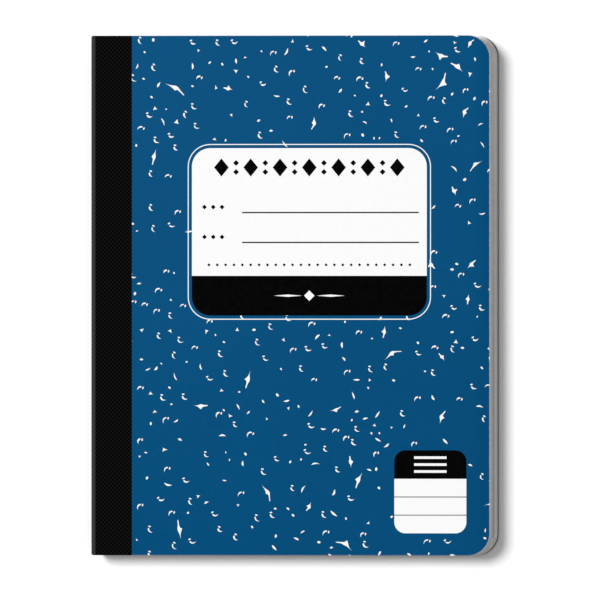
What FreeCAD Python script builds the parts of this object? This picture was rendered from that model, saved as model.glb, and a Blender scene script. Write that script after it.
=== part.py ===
import FreeCAD, Part
import math
import os
import random

# A sewn composition notebook that lies on its back cover, in millimetres.
# X runs from the spine to the fore edge, Y from the tail to the head, Z up.
# The origin is the middle of the footprint, on the surface that it lies on.

# Covers
COVER_WIDTH = 190.5
COVER_HEIGHT = 247.65
BOARD_THICKNESS = 0.8
CORNER_RADIUS = 10.5
SPINE_END_RADIUS = 1.1

# Leaves: folded sheets, sewn through the fold
LEAF_COUNT = 100
LEAF_THICKNESS = 0.086
# The front cover has slid this far towards the spine, so the whole block leans
LEAN = 3.5
# The leaves stop this far short of the covers' fore edges
LEAF_INSET = 0.35

# Cloth tape round the spine
TAPE_THICKNESS = 0.25
FRONT_FLAP = 19.5
BACK_FLAP = 19.5
SPINE_RADIUS = 2.0
TAPE_EDGE_GAP = 0.05
GLUE_GAP = 0.1

# Sewing: a thread behind the fold and a thread inside it, locked in each hole
THREAD_RADIUS = 0.25
LEG_RADIUS = 0.22
THREAD_CLEARANCE = 0.05
STITCH_LENGTH = 8.0

# Print on the front cover, a skin of ink on the board
INK_THICKNESS = 0.05

# White marbling flecks
FLECK_COUNT = 350
FLECK_TRIES = 9000
FLECK_SEED = 11
FLECK_SCALE = 1.0
FLECK_SPACING = 0.3
FLECK_MARGIN = 0.6
# Turns that the hooked strokes keep near to, and how far they drift, in degrees
COMMA_TURNS = (160, 78, 168, 208, 70)
COMMA_TURN_DRIFT = 16
# Ranges that each kind of fleck is drawn from, and their fixed sizes
COMMA_BEND_LEAST = 1.25
COMMA_BEND_MOST = 1.65
COMMA_SWEEP = (108, 148)
COMMA_WIDTH_LEAST = 0.5
COMMA_WIDTH_MOST = 0.72
COMMA_REACH = 2.1
DROP_GAP = 0.9
DROP_LENGTH = 1.25
DROP_WIDTH = 0.68
DROP_HALF_LEAST = 0.45
DROP_HALF_MOST = 0.85
DROP_SQUASH = (0.5, 0.75)
OVAL_CORNERS = 5
SLIVER_HALF_LEAST = 0.9
SLIVER_HALF_MOST = 2.2
SLIVER_WIDTH_LEAST = 0.26
SLIVER_WIDTH_MOST = 0.46
SLIVER_BOW = (-0.22, 0.22)
WEDGE_SIZE_LEAST = 0.9
WEDGE_SIZE_MOST = 1.6
WEDGE_REACH = (0.6, 1.0)
WEDGE_CORNERS = (0, 125, 235)
WEDGE_DRIFT = (-20, 20)
SPLASH_HALF_LEAST = 2.2
SPLASH_HALF_MOST = 5.4
SPLASH_BODY_LEAST = 0.75
SPLASH_BODY_MOST = 1.2
SPLASH_BOW = (-0.35, 0.35)
SPLASH_SPUR = (0.2, 0.9)

# Label with a keyline round it, a band at its foot and two writing lines
LABEL_WIDTH = 116.2
LABEL_HEIGHT = 83.7
LABEL_RADIUS = 10.8
LABEL_HEAD_MARGIN = 51.65
LABEL_TAPE_MARGIN = 26.75
KEYLINE_WIDTH = 0.46
KEYLINE_GAP = 1.52
BAND_HEIGHT = 18.9
WRITING_LINE_THICKNESS = 0.66
WRITING_LINE_LENGTH = 84.4
WRITING_LINE_END_MARGIN = 3.8
FIRST_LINE_DROP = 30.35
SECOND_LINE_DROP = 44.6

# Ornaments on the label and its band
CHAIN_WIDTH = 91.0
CHAIN_HEIGHT = 8.6
CHAIN_LINKS = 13
CHAIN_DROP = 4.9
MARKER_COUNT = 3
MARKER_SIZE = 2.3
MARKER_PITCH = 4.2
MARKER_INSET = 6.0
DOT_ROW_WIDTH = 96.0
DOT_ROW_COUNT = 25
DOT_SIZE = 1.5
DOT_ROW_DROP = 55.6
BAND_ORNAMENT_WIDTH = 34.0
BAND_ORNAMENT_HEIGHT = 5.0
RULE_SWELL = 1.1

# Badge near the fore edge and the tail, with a ruled panel
BADGE_WIDTH = 34.4
BADGE_HEIGHT = 39.5
BADGE_RADIUS = 5.3
BADGE_FORE_MARGIN = 11.15
BADGE_TAIL_MARGIN = 10.6
BADGE_HEADER_HEIGHT = 13.55
BADGE_LINE_COUNT = 2
BADGE_LINE_THICKNESS = 0.5
BADGE_BAR_COUNT = 3
BADGE_BAR_LENGTH = 15.5
BADGE_BAR_THICKNESS = 1.2
BADGE_BAR_PITCH = 3.3

# Places that follow from the sizes
BLOCK_THICKNESS = LEAF_COUNT * LEAF_THICKNESS
BOOK_THICKNESS = BLOCK_THICKNESS + 2 * BOARD_THICKNESS
HALF_HEIGHT = COVER_HEIGHT / 2
SPINE_X = -(COVER_WIDTH + LEAN) / 2
FORE_X = SPINE_X + COVER_WIDTH
HINGE_RADIUS = BOARD_THICKNESS / 2
BEND_X = SPINE_X + SPINE_RADIUS
HINGE_X = BEND_X + HINGE_RADIUS
HINGE_Z = BOOK_THICKNESS - HINGE_RADIUS
SPINE_SLANT = math.atan2(LEAN, BOOK_THICKNESS - 2 * SPINE_RADIUS)
PRINT_Z = BOOK_THICKNESS
SECOND_INK_Z = PRINT_Z + INK_THICKNESS
LABEL_LEFT = SPINE_X + FRONT_FLAP + LABEL_TAPE_MARGIN
LABEL_TOP = HALF_HEIGHT - LABEL_HEAD_MARGIN
PANEL_INSET = KEYLINE_WIDTH + KEYLINE_GAP
PANEL_LEFT = LABEL_LEFT + PANEL_INSET
PANEL_RIGHT = LABEL_LEFT + LABEL_WIDTH - PANEL_INSET
PANEL_TOP = LABEL_TOP - PANEL_INSET
PANEL_BOTTOM = LABEL_TOP - LABEL_HEIGHT + PANEL_INSET
PANEL_MIDDLE = (PANEL_LEFT + PANEL_RIGHT) / 2
BADGE_RIGHT = FORE_X - BADGE_FORE_MARGIN
BADGE_LEFT = BADGE_RIGHT - BADGE_WIDTH
BADGE_BOTTOM = -HALF_HEIGHT + BADGE_TAIL_MARGIN
BADGE_TOP = BADGE_BOTTOM + BADGE_HEIGHT
BADGE_HEADER_BOTTOM = BADGE_TOP - BADGE_HEADER_HEIGHT


# Outlines and sections

def vector(x, y, z):
    return FreeCAD.Vector(x, y, z)


def line(start, end):
    return Part.LineSegment(start, end).toShape()


def flat_arc(centre_x, centre_y, radius, start, end, z):
    """An arc in a level plane, between two angles in degrees."""
    points = []
    for angle in (start, (start + end) / 2, end):
        turn = math.radians(angle)
        x = centre_x + radius * math.cos(turn)
        y = centre_y + radius * math.sin(turn)
        points.append(vector(x, y, z))
    return Part.Arc(*points).toShape()


def upright_point(centre_x, centre_z, radius, angle):
    """A point of a circle in the plane of the section, angle in radians."""
    x = centre_x + radius * math.cos(angle)
    z = centre_z + radius * math.sin(angle)
    return vector(x, -HALF_HEIGHT, z)


def upright_arc(centre_x, centre_z, radius, start, end):
    """An arc in the plane of the section, between two angles in radians."""
    angles = (start, (start + end) / 2, end)
    points = [upright_point(centre_x, centre_z, radius, angle) for angle in angles]
    return Part.Arc(*points).toShape()


def rounded_outline(left, bottom, right, top, left_radius, right_radius, z):
    """A level rectangle with one radius on its left corners and one on its right."""
    edges = [
        line(vector(left + left_radius, bottom, z), vector(right - right_radius, bottom, z)),
        flat_arc(right - right_radius, bottom + right_radius, right_radius, -90, 0, z),
        line(vector(right, bottom + right_radius, z), vector(right, top - right_radius, z)),
        flat_arc(right - right_radius, top - right_radius, right_radius, 0, 90, z),
        line(vector(right - right_radius, top, z), vector(left + left_radius, top, z)),
        flat_arc(left + left_radius, top - left_radius, left_radius, 90, 180, z),
        line(vector(left, top - left_radius, z), vector(left, bottom + left_radius, z)),
        flat_arc(left + left_radius, bottom + left_radius, left_radius, 180, 270, z),
    ]
    return Part.Wire(edges)


def board_outline(z):
    """The trimmed outline of a cover."""
    return rounded_outline(
        SPINE_X, -HALF_HEIGHT, FORE_X, HALF_HEIGHT, SPINE_END_RADIUS, CORNER_RADIUS, z
    )


def flank_x(z):
    """X of the slanted outside of the spine at one height."""
    fall = (BOOK_THICKNESS - SPINE_RADIUS - z) * math.tan(SPINE_SLANT)
    return BEND_X + fall - SPINE_RADIUS / math.cos(SPINE_SLANT)


def spine_end_trim():
    """A prism along the slanted spine, with its corners rounded at head and tail."""
    wires = []
    for z in (0, BOOK_THICKNESS):
        left = flank_x(z)
        right = FORE_X + 2 * LEAN + CORNER_RADIUS
        radius = SPINE_END_RADIUS
        wires.append(
            rounded_outline(left, -HALF_HEIGHT, right, HALF_HEIGHT, radius, radius, z)
        )
    return Part.makeLoft(wires, True, True)


def fore_edge_trim(bottom_z, top_z):
    """A leaning prism with the leaves' rounded fore edge, well clear of the spine."""
    wires = []
    for z, shift in ((bottom_z, LEAN), (top_z, 0)):
        left = SPINE_X - 2 * SPINE_RADIUS + shift
        right = FORE_X + shift - LEAF_INSET
        wires.append(
            rounded_outline(
                left, -HALF_HEIGHT, right, HALF_HEIGHT, SPINE_END_RADIUS, CORNER_RADIUS, z
            )
        )
    return Part.makeLoft(wires, True, True)


def extruded_section(edges):
    """A section in the X Z plane, run from the tail to the head."""
    return Part.Face(Part.Wire(edges)).extrude(vector(0, COVER_HEIGHT, 0))


def slab(wire, thickness=INK_THICKNESS):
    return Part.Face(wire).extrude(vector(0, 0, thickness))


def block_between(left, bottom, right, top, z, thickness=INK_THICKNESS):
    return Part.makeBox(right - left, top - bottom, thickness, vector(left, bottom, z))


def polygon(points, z):
    """A closed flat polygon of ink, from points in the plane of the cover."""
    corners = [vector(x, y, z) for x, y in points]
    return slab(Part.makePolygon(corners + corners[:1]))


# Covers, tape, leaves and sewing

def cover_board(flap):
    """A board with a step for the tape's flap and a rounded edge on its hinge line."""
    top = BOOK_THICKNESS
    under = top - BOARD_THICKNESS
    step = top - TAPE_THICKNESS
    step_x = SPINE_X + flap + TAPE_EDGE_GAP
    rise = step - HINGE_Z
    round_start = math.atan2(rise, -math.sqrt(HINGE_RADIUS ** 2 - rise ** 2))
    round_end = 1.5 * math.pi
    corners = [
        upright_point(HINGE_X, HINGE_Z, HINGE_RADIUS, round_end),
        vector(FORE_X, -HALF_HEIGHT, under),
        vector(FORE_X, -HALF_HEIGHT, top),
        vector(step_x, -HALF_HEIGHT, top),
        vector(step_x, -HALF_HEIGHT, step),
        upright_point(HINGE_X, HINGE_Z, HINGE_RADIUS, round_start),
    ]
    edges = [line(a, b) for a, b in zip(corners, corners[1:])]
    edges.append(upright_arc(HINGE_X, HINGE_Z, HINGE_RADIUS, round_start, round_end))
    outline = slab(board_outline(under), BOARD_THICKNESS)
    return extruded_section(edges).common(outline)


def back_cover():
    """The same board, turned over and set off by the lean."""
    middle = vector(0, 0, BOOK_THICKNESS / 2)
    board = cover_board(BACK_FLAP).mirror(middle, vector(0, 0, 1))
    board.translate(vector(LEAN, 0, 0))
    return board


def spine_arcs(depth, end_angle):
    """The spine's line at a depth under its surface: bend, slanted flank and bend.

    Each bend ends at an angle above or below the level of its own centre.
    """
    radius = SPINE_RADIUS - depth
    top_centre = BOOK_THICKNESS - SPINE_RADIUS
    tangent = math.pi + SPINE_SLANT
    start = math.pi - end_angle
    end = math.pi + end_angle
    upper = upright_arc(BEND_X, top_centre, radius, start, tangent)
    lower = upright_arc(BEND_X + LEAN, SPINE_RADIUS, radius, tangent, end)
    flank = line(
        upright_point(BEND_X, top_centre, radius, tangent),
        upright_point(BEND_X + LEAN, SPINE_RADIUS, radius, tangent),
    )
    return [upper, flank, lower]


def spine_tape():
    """One strip of cloth: front flap, bend, slanted spine, bend and back flap."""
    top = BOOK_THICKNESS
    outer = spine_arcs(0, math.pi / 2)
    inner = spine_arcs(TAPE_THICKNESS, math.pi / 2)
    front_x = SPINE_X + FRONT_FLAP
    back_x = SPINE_X + LEAN + BACK_FLAP
    front_top = vector(front_x, -HALF_HEIGHT, top)
    front_under = vector(front_x, -HALF_HEIGHT, top - TAPE_THICKNESS)
    back_under = vector(back_x, -HALF_HEIGHT, 0)
    back_top = vector(back_x, -HALF_HEIGHT, TAPE_THICKNESS)
    edges = [line(front_top, vector(BEND_X, -HALF_HEIGHT, top))]
    edges += outer
    edges += [
        line(vector(BEND_X + LEAN, -HALF_HEIGHT, 0), back_under),
        line(back_under, back_top),
        line(back_top, vector(BEND_X + LEAN, -HALF_HEIGHT, TAPE_THICKNESS)),
    ]
    edges += inner
    edges += [
        line(vector(BEND_X, -HALF_HEIGHT, top - TAPE_THICKNESS), front_under),
        line(front_under, front_top),
    ]
    strip = extruded_section(Part.sortEdges(edges)[0])
    return strip.common(spine_end_trim())


def thread_places():
    """X of the outer thread, of the place where both lock, and of the inner thread."""
    slope = math.cos(SPINE_SLANT)
    tape_x = BEND_X + LEAN / 2 - (SPINE_RADIUS - TAPE_THICKNESS) / slope
    outer_x = tape_x + (THREAD_RADIUS + THREAD_CLEARANCE) / slope
    inner_x = tape_x + (GLUE_GAP + BLOCK_THICKNESS / 2) / slope
    return outer_x, (outer_x + inner_x) / 2, inner_x


def stitch_places():
    """Y of each hole, evenly spaced about the middle of the fold."""
    count = int((COVER_HEIGHT - STITCH_LENGTH) // STITCH_LENGTH) + 1
    return [(n - (count - 1) / 2) * STITCH_LENGTH for n in range(count)]


def sewing_line(run_x, lock_x, run_radius, leg_radius):
    """A run along the fold and the legs that go from it into the holes."""
    middle = BOOK_THICKNESS / 2
    start = vector(run_x, -HALF_HEIGHT, middle)
    run = Part.makeCylinder(run_radius, COVER_HEIGHT, start, vector(0, 1, 0))
    towards = 1 if lock_x > run_x else -1
    legs = []
    for y in stitch_places():
        foot = vector(run_x, y, middle)
        reach = vector(towards, 0, 0)
        legs.append(Part.makeCylinder(leg_radius, abs(lock_x - run_x), foot, reach))
    return run.fuse(legs)


def sewing_threads():
    outer_x, lock_x, inner_x = thread_places()
    outer = sewing_line(outer_x, lock_x, THREAD_RADIUS, LEG_RADIUS)
    inner = sewing_line(inner_x, lock_x, THREAD_RADIUS, LEG_RADIUS)
    return outer, inner


def page_block():
    """All the leaves as one solid: a leaning block with the folds at the spine."""
    top = BOOK_THICKNESS - BOARD_THICKNESS
    bottom = BOARD_THICKNESS
    depth = TAPE_THICKNESS + GLUE_GAP
    cut_angle = math.asin((SPINE_RADIUS - BOARD_THICKNESS) / (SPINE_RADIUS - depth))
    arcs = spine_arcs(depth, cut_angle)
    past_fore = FORE_X + 2 * LEAN
    top_left = arcs[0].Vertexes[0].Point
    bottom_left = arcs[-1].Vertexes[-1].Point
    top_right = vector(past_fore, -HALF_HEIGHT, top)
    bottom_right = vector(past_fore, -HALF_HEIGHT, bottom)
    edges = arcs + [
        line(bottom_left, bottom_right),
        line(bottom_right, top_right),
        line(top_right, top_left),
    ]
    block = extruded_section(Part.sortEdges(edges)[0])
    block = block.common(spine_end_trim()).common(fore_edge_trim(bottom, top))
    outer_x, lock_x, inner_x = thread_places()
    room = THREAD_RADIUS + THREAD_CLEARANCE
    hole = LEG_RADIUS + THREAD_CLEARANCE
    outer_room = sewing_line(outer_x, lock_x, room, hole)
    inner_room = sewing_line(inner_x, lock_x, room, hole)
    return block.cut(outer_room.fuse(inner_room))


# Label

def label_keyline():
    """A thin ring round the label."""
    right = LABEL_LEFT + LABEL_WIDTH
    bottom = LABEL_TOP - LABEL_HEIGHT
    outer = rounded_outline(
        LABEL_LEFT, bottom, right, LABEL_TOP, LABEL_RADIUS, LABEL_RADIUS, PRINT_Z
    )
    inner_radius = LABEL_RADIUS - KEYLINE_WIDTH
    inner = rounded_outline(
        LABEL_LEFT + KEYLINE_WIDTH,
        bottom + KEYLINE_WIDTH,
        right - KEYLINE_WIDTH,
        LABEL_TOP - KEYLINE_WIDTH,
        inner_radius,
        inner_radius,
        PRINT_Z,
    )
    return slab(outer).cut(slab(inner))


def label_fields():
    """The white panel and the black band at its foot, which share one outline."""
    radius = LABEL_RADIUS - PANEL_INSET
    outline = rounded_outline(
        PANEL_LEFT, PANEL_BOTTOM, PANEL_RIGHT, PANEL_TOP, radius, radius, PRINT_Z
    )
    band_top = PANEL_BOTTOM + BAND_HEIGHT
    foot = block_between(PANEL_LEFT, PANEL_BOTTOM, PANEL_RIGHT, band_top, PRINT_Z)
    whole = slab(outline)
    return whole.cut(foot), whole.common(foot)


def writing_lines():
    right = PANEL_RIGHT - WRITING_LINE_END_MARGIN
    left = right - WRITING_LINE_LENGTH
    lines = []
    for drop in (FIRST_LINE_DROP, SECOND_LINE_DROP):
        top = PANEL_TOP - drop
        bottom = top - WRITING_LINE_THICKNESS
        lines.append(block_between(left, bottom, right, top, SECOND_INK_Z))
    return lines


# Ornaments

def lozenge(x, y, half_width, half_height, z=SECOND_INK_Z):
    points = [
        (x - half_width, y),
        (x, y - half_height),
        (x + half_width, y),
        (x, y + half_height),
    ]
    return polygon(points, z)


def swelled_rule(left, right, y, swell):
    """A rule that is fine at both ends and thickest in the middle."""
    middle = (left + right) / 2
    return lozenge(middle, y, (right - left) / 2, swell / 2)


def lozenge_chain():
    """Large and small lozenges in turn, across the head of the label."""
    pitch = CHAIN_WIDTH / CHAIN_LINKS
    y = PANEL_TOP - CHAIN_DROP - CHAIN_HEIGHT / 2
    links = []
    for n in range(CHAIN_LINKS):
        x = PANEL_MIDDLE + (n - (CHAIN_LINKS - 1) / 2) * pitch
        if n % 2 == 0:
            links.append(lozenge(x, y, 0.5 * pitch, CHAIN_HEIGHT / 2))
        else:
            rise = CHAIN_HEIGHT / 4
            links.append(lozenge(x, y + rise, 0.2 * pitch, 0.2 * pitch))
            links.append(lozenge(x, y - rise, 0.2 * pitch, 0.2 * pitch))
    return links


def line_markers():
    """Small lozenges that lead to each writing line."""
    markers = []
    left = PANEL_LEFT + MARKER_INSET
    for drop in (FIRST_LINE_DROP, SECOND_LINE_DROP):
        y = PANEL_TOP - drop + MARKER_SIZE
        for n in range(MARKER_COUNT):
            half = MARKER_SIZE / 2
            markers.append(lozenge(left + n * MARKER_PITCH, y, half, half))
    return markers


def dot_row():
    pitch = DOT_ROW_WIDTH / (DOT_ROW_COUNT - 1)
    y = PANEL_TOP - DOT_ROW_DROP
    left = PANEL_MIDDLE - DOT_ROW_WIDTH / 2
    half = DOT_SIZE / 2
    return [lozenge(left + n * pitch, y, half, half) for n in range(DOT_ROW_COUNT)]


def band_ornament():
    """A lozenge between two swelled rules, in the middle of the band."""
    y = PANEL_BOTTOM + BAND_HEIGHT / 2
    half_height = BAND_ORNAMENT_HEIGHT / 2
    gap = 0.2 * BAND_ORNAMENT_HEIGHT
    half_width = BAND_ORNAMENT_WIDTH / 2
    inner = half_height + gap
    return [
        lozenge(PANEL_MIDDLE, y, half_height, half_height),
        swelled_rule(PANEL_MIDDLE - half_width, PANEL_MIDDLE - inner, y, RULE_SWELL),
        swelled_rule(PANEL_MIDDLE + inner, PANEL_MIDDLE + half_width, y, RULE_SWELL),
    ]


# Badge

def badge_fields():
    """The black header and the white panel under it, which share one outline."""
    outline = rounded_outline(
        BADGE_LEFT, BADGE_BOTTOM, BADGE_RIGHT, BADGE_TOP, BADGE_RADIUS, BADGE_RADIUS, PRINT_Z
    )
    head = block_between(BADGE_LEFT, BADGE_HEADER_BOTTOM, BADGE_RIGHT, BADGE_TOP, PRINT_Z)
    whole = slab(outline)
    return whole.common(head), whole.cut(head)


def badge_lines():
    """Lines that divide the badge's panel evenly."""
    pitch = (BADGE_HEIGHT - BADGE_HEADER_HEIGHT) / (BADGE_LINE_COUNT + 1)
    lines = []
    for n in range(BADGE_LINE_COUNT):
        y = BADGE_HEADER_BOTTOM - (n + 1) * pitch
        bottom = y - BADGE_LINE_THICKNESS / 2
        top = y + BADGE_LINE_THICKNESS / 2
        lines.append(block_between(BADGE_LEFT, bottom, BADGE_RIGHT, top, SECOND_INK_Z))
    return lines


def badge_bars():
    """Short bars in the header, as a sign for a ruled page."""
    middle_x = (BADGE_LEFT + BADGE_RIGHT) / 2
    middle_y = BADGE_TOP - BADGE_HEADER_HEIGHT / 2
    half_length = BADGE_BAR_LENGTH / 2
    half = BADGE_BAR_THICKNESS / 2
    bars = []
    for n in range(BADGE_BAR_COUNT):
        y = middle_y + (n - (BADGE_BAR_COUNT - 1) / 2) * BADGE_BAR_PITCH
        left = middle_x - half_length
        right = middle_x + half_length
        bars.append(block_between(left, y - half, right, y + half, SECOND_INK_Z))
    return bars


# Marbling flecks: each shape is a list of outlines round (0, 0)

def polar(radius, angle):
    return radius * math.cos(angle), radius * math.sin(angle)


def oval(x, y, half_length, half_width):
    points = []
    for n in range(OVAL_CORNERS):
        turn = 2 * math.pi * n / OVAL_CORNERS
        points.append((x + half_length * math.cos(turn), y + half_width * math.sin(turn)))
    return points


def comma_fleck(rng):
    """A hooked stroke with a loose drop beyond its thick end."""
    bend = rng.uniform(COMMA_BEND_LEAST, COMMA_BEND_MOST)
    sweep = math.radians(rng.uniform(*COMMA_SWEEP))
    width = rng.uniform(COMMA_WIDTH_LEAST, COMMA_WIDTH_MOST)
    outer = []
    inner = []
    for along, swell in ((0, 0.9), (0.35, 1.0), (0.7, 0.6)):
        outer.append(polar(bend + width * swell / 2, sweep * along))
        inner.append(polar(bend - width * swell / 2, sweep * along))
    stroke = outer + [polar(bend, sweep)] + inner[::-1]
    drop_x, drop_y = polar(bend, -DROP_GAP / bend)
    drop = oval(drop_x, drop_y, DROP_LENGTH / 2, DROP_WIDTH / 2)
    middle = polar(bend, 0.4 * sweep)
    return [
        [(x - middle[0], y - middle[1]) for x, y in stroke],
        [(x - middle[0], y - middle[1]) for x, y in drop],
    ], COMMA_REACH


def drop_fleck(rng):
    length = rng.uniform(DROP_HALF_LEAST, DROP_HALF_MOST)
    return [oval(0, 0, length, length * rng.uniform(*DROP_SQUASH))], length


def sliver_fleck(rng):
    """A thin stroke that bends a little and runs out at both ends."""
    half = rng.uniform(SLIVER_HALF_LEAST, SLIVER_HALF_MOST)
    width = rng.uniform(SLIVER_WIDTH_LEAST, SLIVER_WIDTH_MOST)
    bow = rng.uniform(*SLIVER_BOW) * half
    points = [
        (-half, -bow),
        (-0.2 * half, -width + 0.4 * bow),
        (0.5 * half, -0.9 * width + 0.2 * bow),
        (half, -bow),
        (0.4 * half, width + 0.2 * bow),
        (-0.3 * half, 0.8 * width + 0.4 * bow),
    ]
    return [points], half


def wedge_fleck(rng):
    size = rng.uniform(WEDGE_SIZE_LEAST, WEDGE_SIZE_MOST)
    points = []
    for corner in WEDGE_CORNERS:
        turn = math.radians(corner + rng.uniform(*WEDGE_DRIFT))
        points.append(polar(size * rng.uniform(*WEDGE_REACH), turn))
    return [points], size


def splash_fleck(rng):
    """A larger blot that bends, with a blunt head, one arm and a drawn-out tail."""
    half = rng.uniform(SPLASH_HALF_LEAST, SPLASH_HALF_MOST)
    body = rng.uniform(SPLASH_BODY_LEAST, SPLASH_BODY_MOST)
    bow = rng.uniform(*SPLASH_BOW) * half
    spur = rng.uniform(*SPLASH_SPUR) * body
    points = [
        (-half, -bow),
        (-0.5 * half, -0.25 * body - 0.6 * bow),
        (-0.2 * half, -0.8 * body - 0.2 * bow),
        (0.02 * half, -0.9 * body - spur),
        (0.16 * half, -0.6 * body),
        (0.5 * half, -0.3 * body - 0.35 * bow),
        (0.9 * half, -0.22 * body - 0.9 * bow),
        (half, -bow),
        (0.88 * half, 0.22 * body - 0.85 * bow),
        (0.45 * half, 0.35 * body - 0.3 * bow),
        (0.08 * half, 0.75 * body),
        (-0.5 * half, 0.15 * body - 0.5 * bow),
    ]
    return [points], half


FLECK_KINDS = (
    (0.42, comma_fleck),
    (0.59, drop_fleck),
    (0.79, sliver_fleck),
    (0.88, wedge_fleck),
    (1.0, splash_fleck),
)


def near_box(x, y, reach, left, bottom, right, top):
    beside = x < left - reach or x > right + reach
    return not (beside or y < bottom - reach or y > top + reach)


def fleck_fits(x, y, reach, placed):
    """Whether a fleck lies on bare cover, clear of the print and other flecks."""
    reach = reach + FLECK_MARGIN
    left = SPINE_X + FRONT_FLAP + reach
    right = FORE_X - reach
    if not (left < x < right and abs(y) < HALF_HEIGHT - reach):
        return False
    past_x = x - (FORE_X - CORNER_RADIUS)
    past_y = abs(y) - (HALF_HEIGHT - CORNER_RADIUS)
    if past_x > 0 and past_y > 0 and math.hypot(past_x, past_y) > CORNER_RADIUS - reach:
        return False
    label_right = LABEL_LEFT + LABEL_WIDTH
    label_bottom = LABEL_TOP - LABEL_HEIGHT
    if near_box(x, y, reach, LABEL_LEFT, label_bottom, label_right, LABEL_TOP):
        return False
    if near_box(x, y, reach, BADGE_LEFT, BADGE_BOTTOM, BADGE_RIGHT, BADGE_TOP):
        return False
    for other_x, other_y, other_reach in placed:
        room = reach + other_reach + FLECK_SPACING
        if math.hypot(x - other_x, y - other_y) < room:
            return False
    return True


def favoured_turn(angle):
    """The turn of a hooked stroke: near one of a few, so that all hook the same way."""
    share = len(COMMA_TURNS) * angle / (2 * math.pi)
    drift = COMMA_TURN_DRIFT * (2 * (share % 1) - 1)
    return math.radians(COMMA_TURNS[int(share)] + drift)


def turned(outline, x, y, angle, scale):
    cos = scale * math.cos(angle)
    sin = scale * math.sin(angle)
    return [(x + u * cos - v * sin, y + u * sin + v * cos) for u, v in outline]


def marbling_outlines():
    """Outlines of all flecks, scattered over the bare cover from a seed."""
    rng = random.Random(FLECK_SEED)
    placed = []
    outlines = []
    for _ in range(FLECK_TRIES):
        if len(placed) == FLECK_COUNT:
            break
        x = rng.uniform(SPINE_X, FORE_X)
        y = rng.uniform(-HALF_HEIGHT, HALF_HEIGHT)
        pick = rng.random()
        make = next(kind for limit, kind in FLECK_KINDS if pick <= limit)
        shapes, reach = make(rng)
        angle = rng.uniform(0, 2 * math.pi)
        if make is comma_fleck:
            angle = favoured_turn(angle)
        reach = reach * FLECK_SCALE
        if not fleck_fits(x, y, reach, placed):
            continue
        placed.append((x, y, reach))
        for outline in shapes:
            outlines.append(turned(outline, x, y, angle, FLECK_SCALE))
    return outlines


def marbling_flecks():
    return [polygon(outline, PRINT_Z) for outline in marbling_outlines()]


def export(node, shape):
    shape.exportStep("parts/" + node + ".step")


def main():
    os.makedirs("parts", exist_ok=True)
    outer_thread, inner_thread = sewing_threads()
    label_panel, label_band = label_fields()
    badge_header, badge_panel = badge_fields()
    export("front_cover", cover_board(FRONT_FLAP))
    export("back_cover", back_cover())
    export("page_block", page_block())
    export("spine_tape", spine_tape())
    export("outer_thread", outer_thread)
    export("inner_thread", inner_thread)
    export("marbling_flecks", Part.makeCompound(marbling_flecks()))
    export("label_keyline", label_keyline())
    export("label_panel", label_panel)
    export("label_band", label_band)
    export("writing_lines", Part.makeCompound(writing_lines()))
    ornaments = lozenge_chain() + line_markers() + dot_row()
    export("label_ornaments", Part.makeCompound(ornaments))
    export("band_ornament", Part.makeCompound(band_ornament()))
    export("badge_header", badge_header)
    export("badge_panel", badge_panel)
    export("badge_lines", Part.makeCompound(badge_lines()))
    export("badge_bars", Part.makeCompound(badge_bars()))


main()
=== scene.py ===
"""Looks of a sewn composition notebook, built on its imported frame, in metres."""
import logging
import math
import random
from contextlib import contextmanager
from dataclasses import dataclass, field
from enum import Enum
from functools import partialmethod
from typing import Any, Callable, ClassVar, Iterator, Optional, Sequence

import bmesh
import bpy
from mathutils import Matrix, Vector


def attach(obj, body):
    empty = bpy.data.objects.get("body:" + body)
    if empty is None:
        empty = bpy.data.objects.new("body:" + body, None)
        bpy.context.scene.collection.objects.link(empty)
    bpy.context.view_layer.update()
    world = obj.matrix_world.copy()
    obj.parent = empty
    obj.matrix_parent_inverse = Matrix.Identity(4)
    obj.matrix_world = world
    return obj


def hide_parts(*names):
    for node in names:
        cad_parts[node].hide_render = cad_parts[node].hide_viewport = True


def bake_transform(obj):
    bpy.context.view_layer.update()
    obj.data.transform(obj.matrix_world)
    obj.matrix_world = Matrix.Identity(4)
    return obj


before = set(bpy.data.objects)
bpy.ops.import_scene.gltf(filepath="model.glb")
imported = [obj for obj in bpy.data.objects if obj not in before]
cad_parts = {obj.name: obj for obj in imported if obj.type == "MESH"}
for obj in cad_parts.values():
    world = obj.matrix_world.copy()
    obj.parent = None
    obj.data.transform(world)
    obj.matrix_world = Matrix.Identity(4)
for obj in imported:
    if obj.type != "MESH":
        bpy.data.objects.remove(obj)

log = logging.getLogger("notebook")

MM = 0.001
TOUCHING = 1e-7
Point = tuple[float, float]
Outline = list[Point]
Shares = list[tuple[float, ...]]
Colour = tuple[float, float, float]


# Sizes

@dataclass(frozen=True)
class BookSizes:
    """Named sizes of the whole notebook and the places that follow from them."""

    cover_width: float = 190.5 * MM
    cover_height: float = 247.65 * MM
    board: float = 0.8 * MM
    corner: float = 10.5 * MM
    spine_corner: float = 1.1 * MM
    leaf_count: int = 100
    leaf: float = 0.086 * MM
    lean: float = 3.5 * MM
    leaf_inset: float = 0.35 * MM
    tape: float = 0.25 * MM
    flap: float = 19.5 * MM
    bend: float = 2.0 * MM
    glue: float = 0.1 * MM
    print_depth: float = 0.02 * MM

    @property
    def thickness(self) -> float:
        """Height of the closed book."""
        return self.leaf_count * self.leaf + 2 * self.board

    @property
    def half_height(self) -> float:
        """Half of the length of the spine."""
        return self.cover_height / 2

    @property
    def spine_x(self) -> float:
        """X of the spine side of the front cover."""
        return -(self.cover_width + self.lean) / 2

    @property
    def fore_x(self) -> float:
        """X of the fore edge of the front cover."""
        return self.spine_x + self.cover_width

    @property
    def bend_x(self) -> float:
        """X of the centre that the tape bends round at the front cover."""
        return self.spine_x + self.bend

    @property
    def slant(self) -> float:
        """Angle of the leaning spine from upright."""
        return math.atan2(self.lean, self.thickness - 2 * self.bend)


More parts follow.
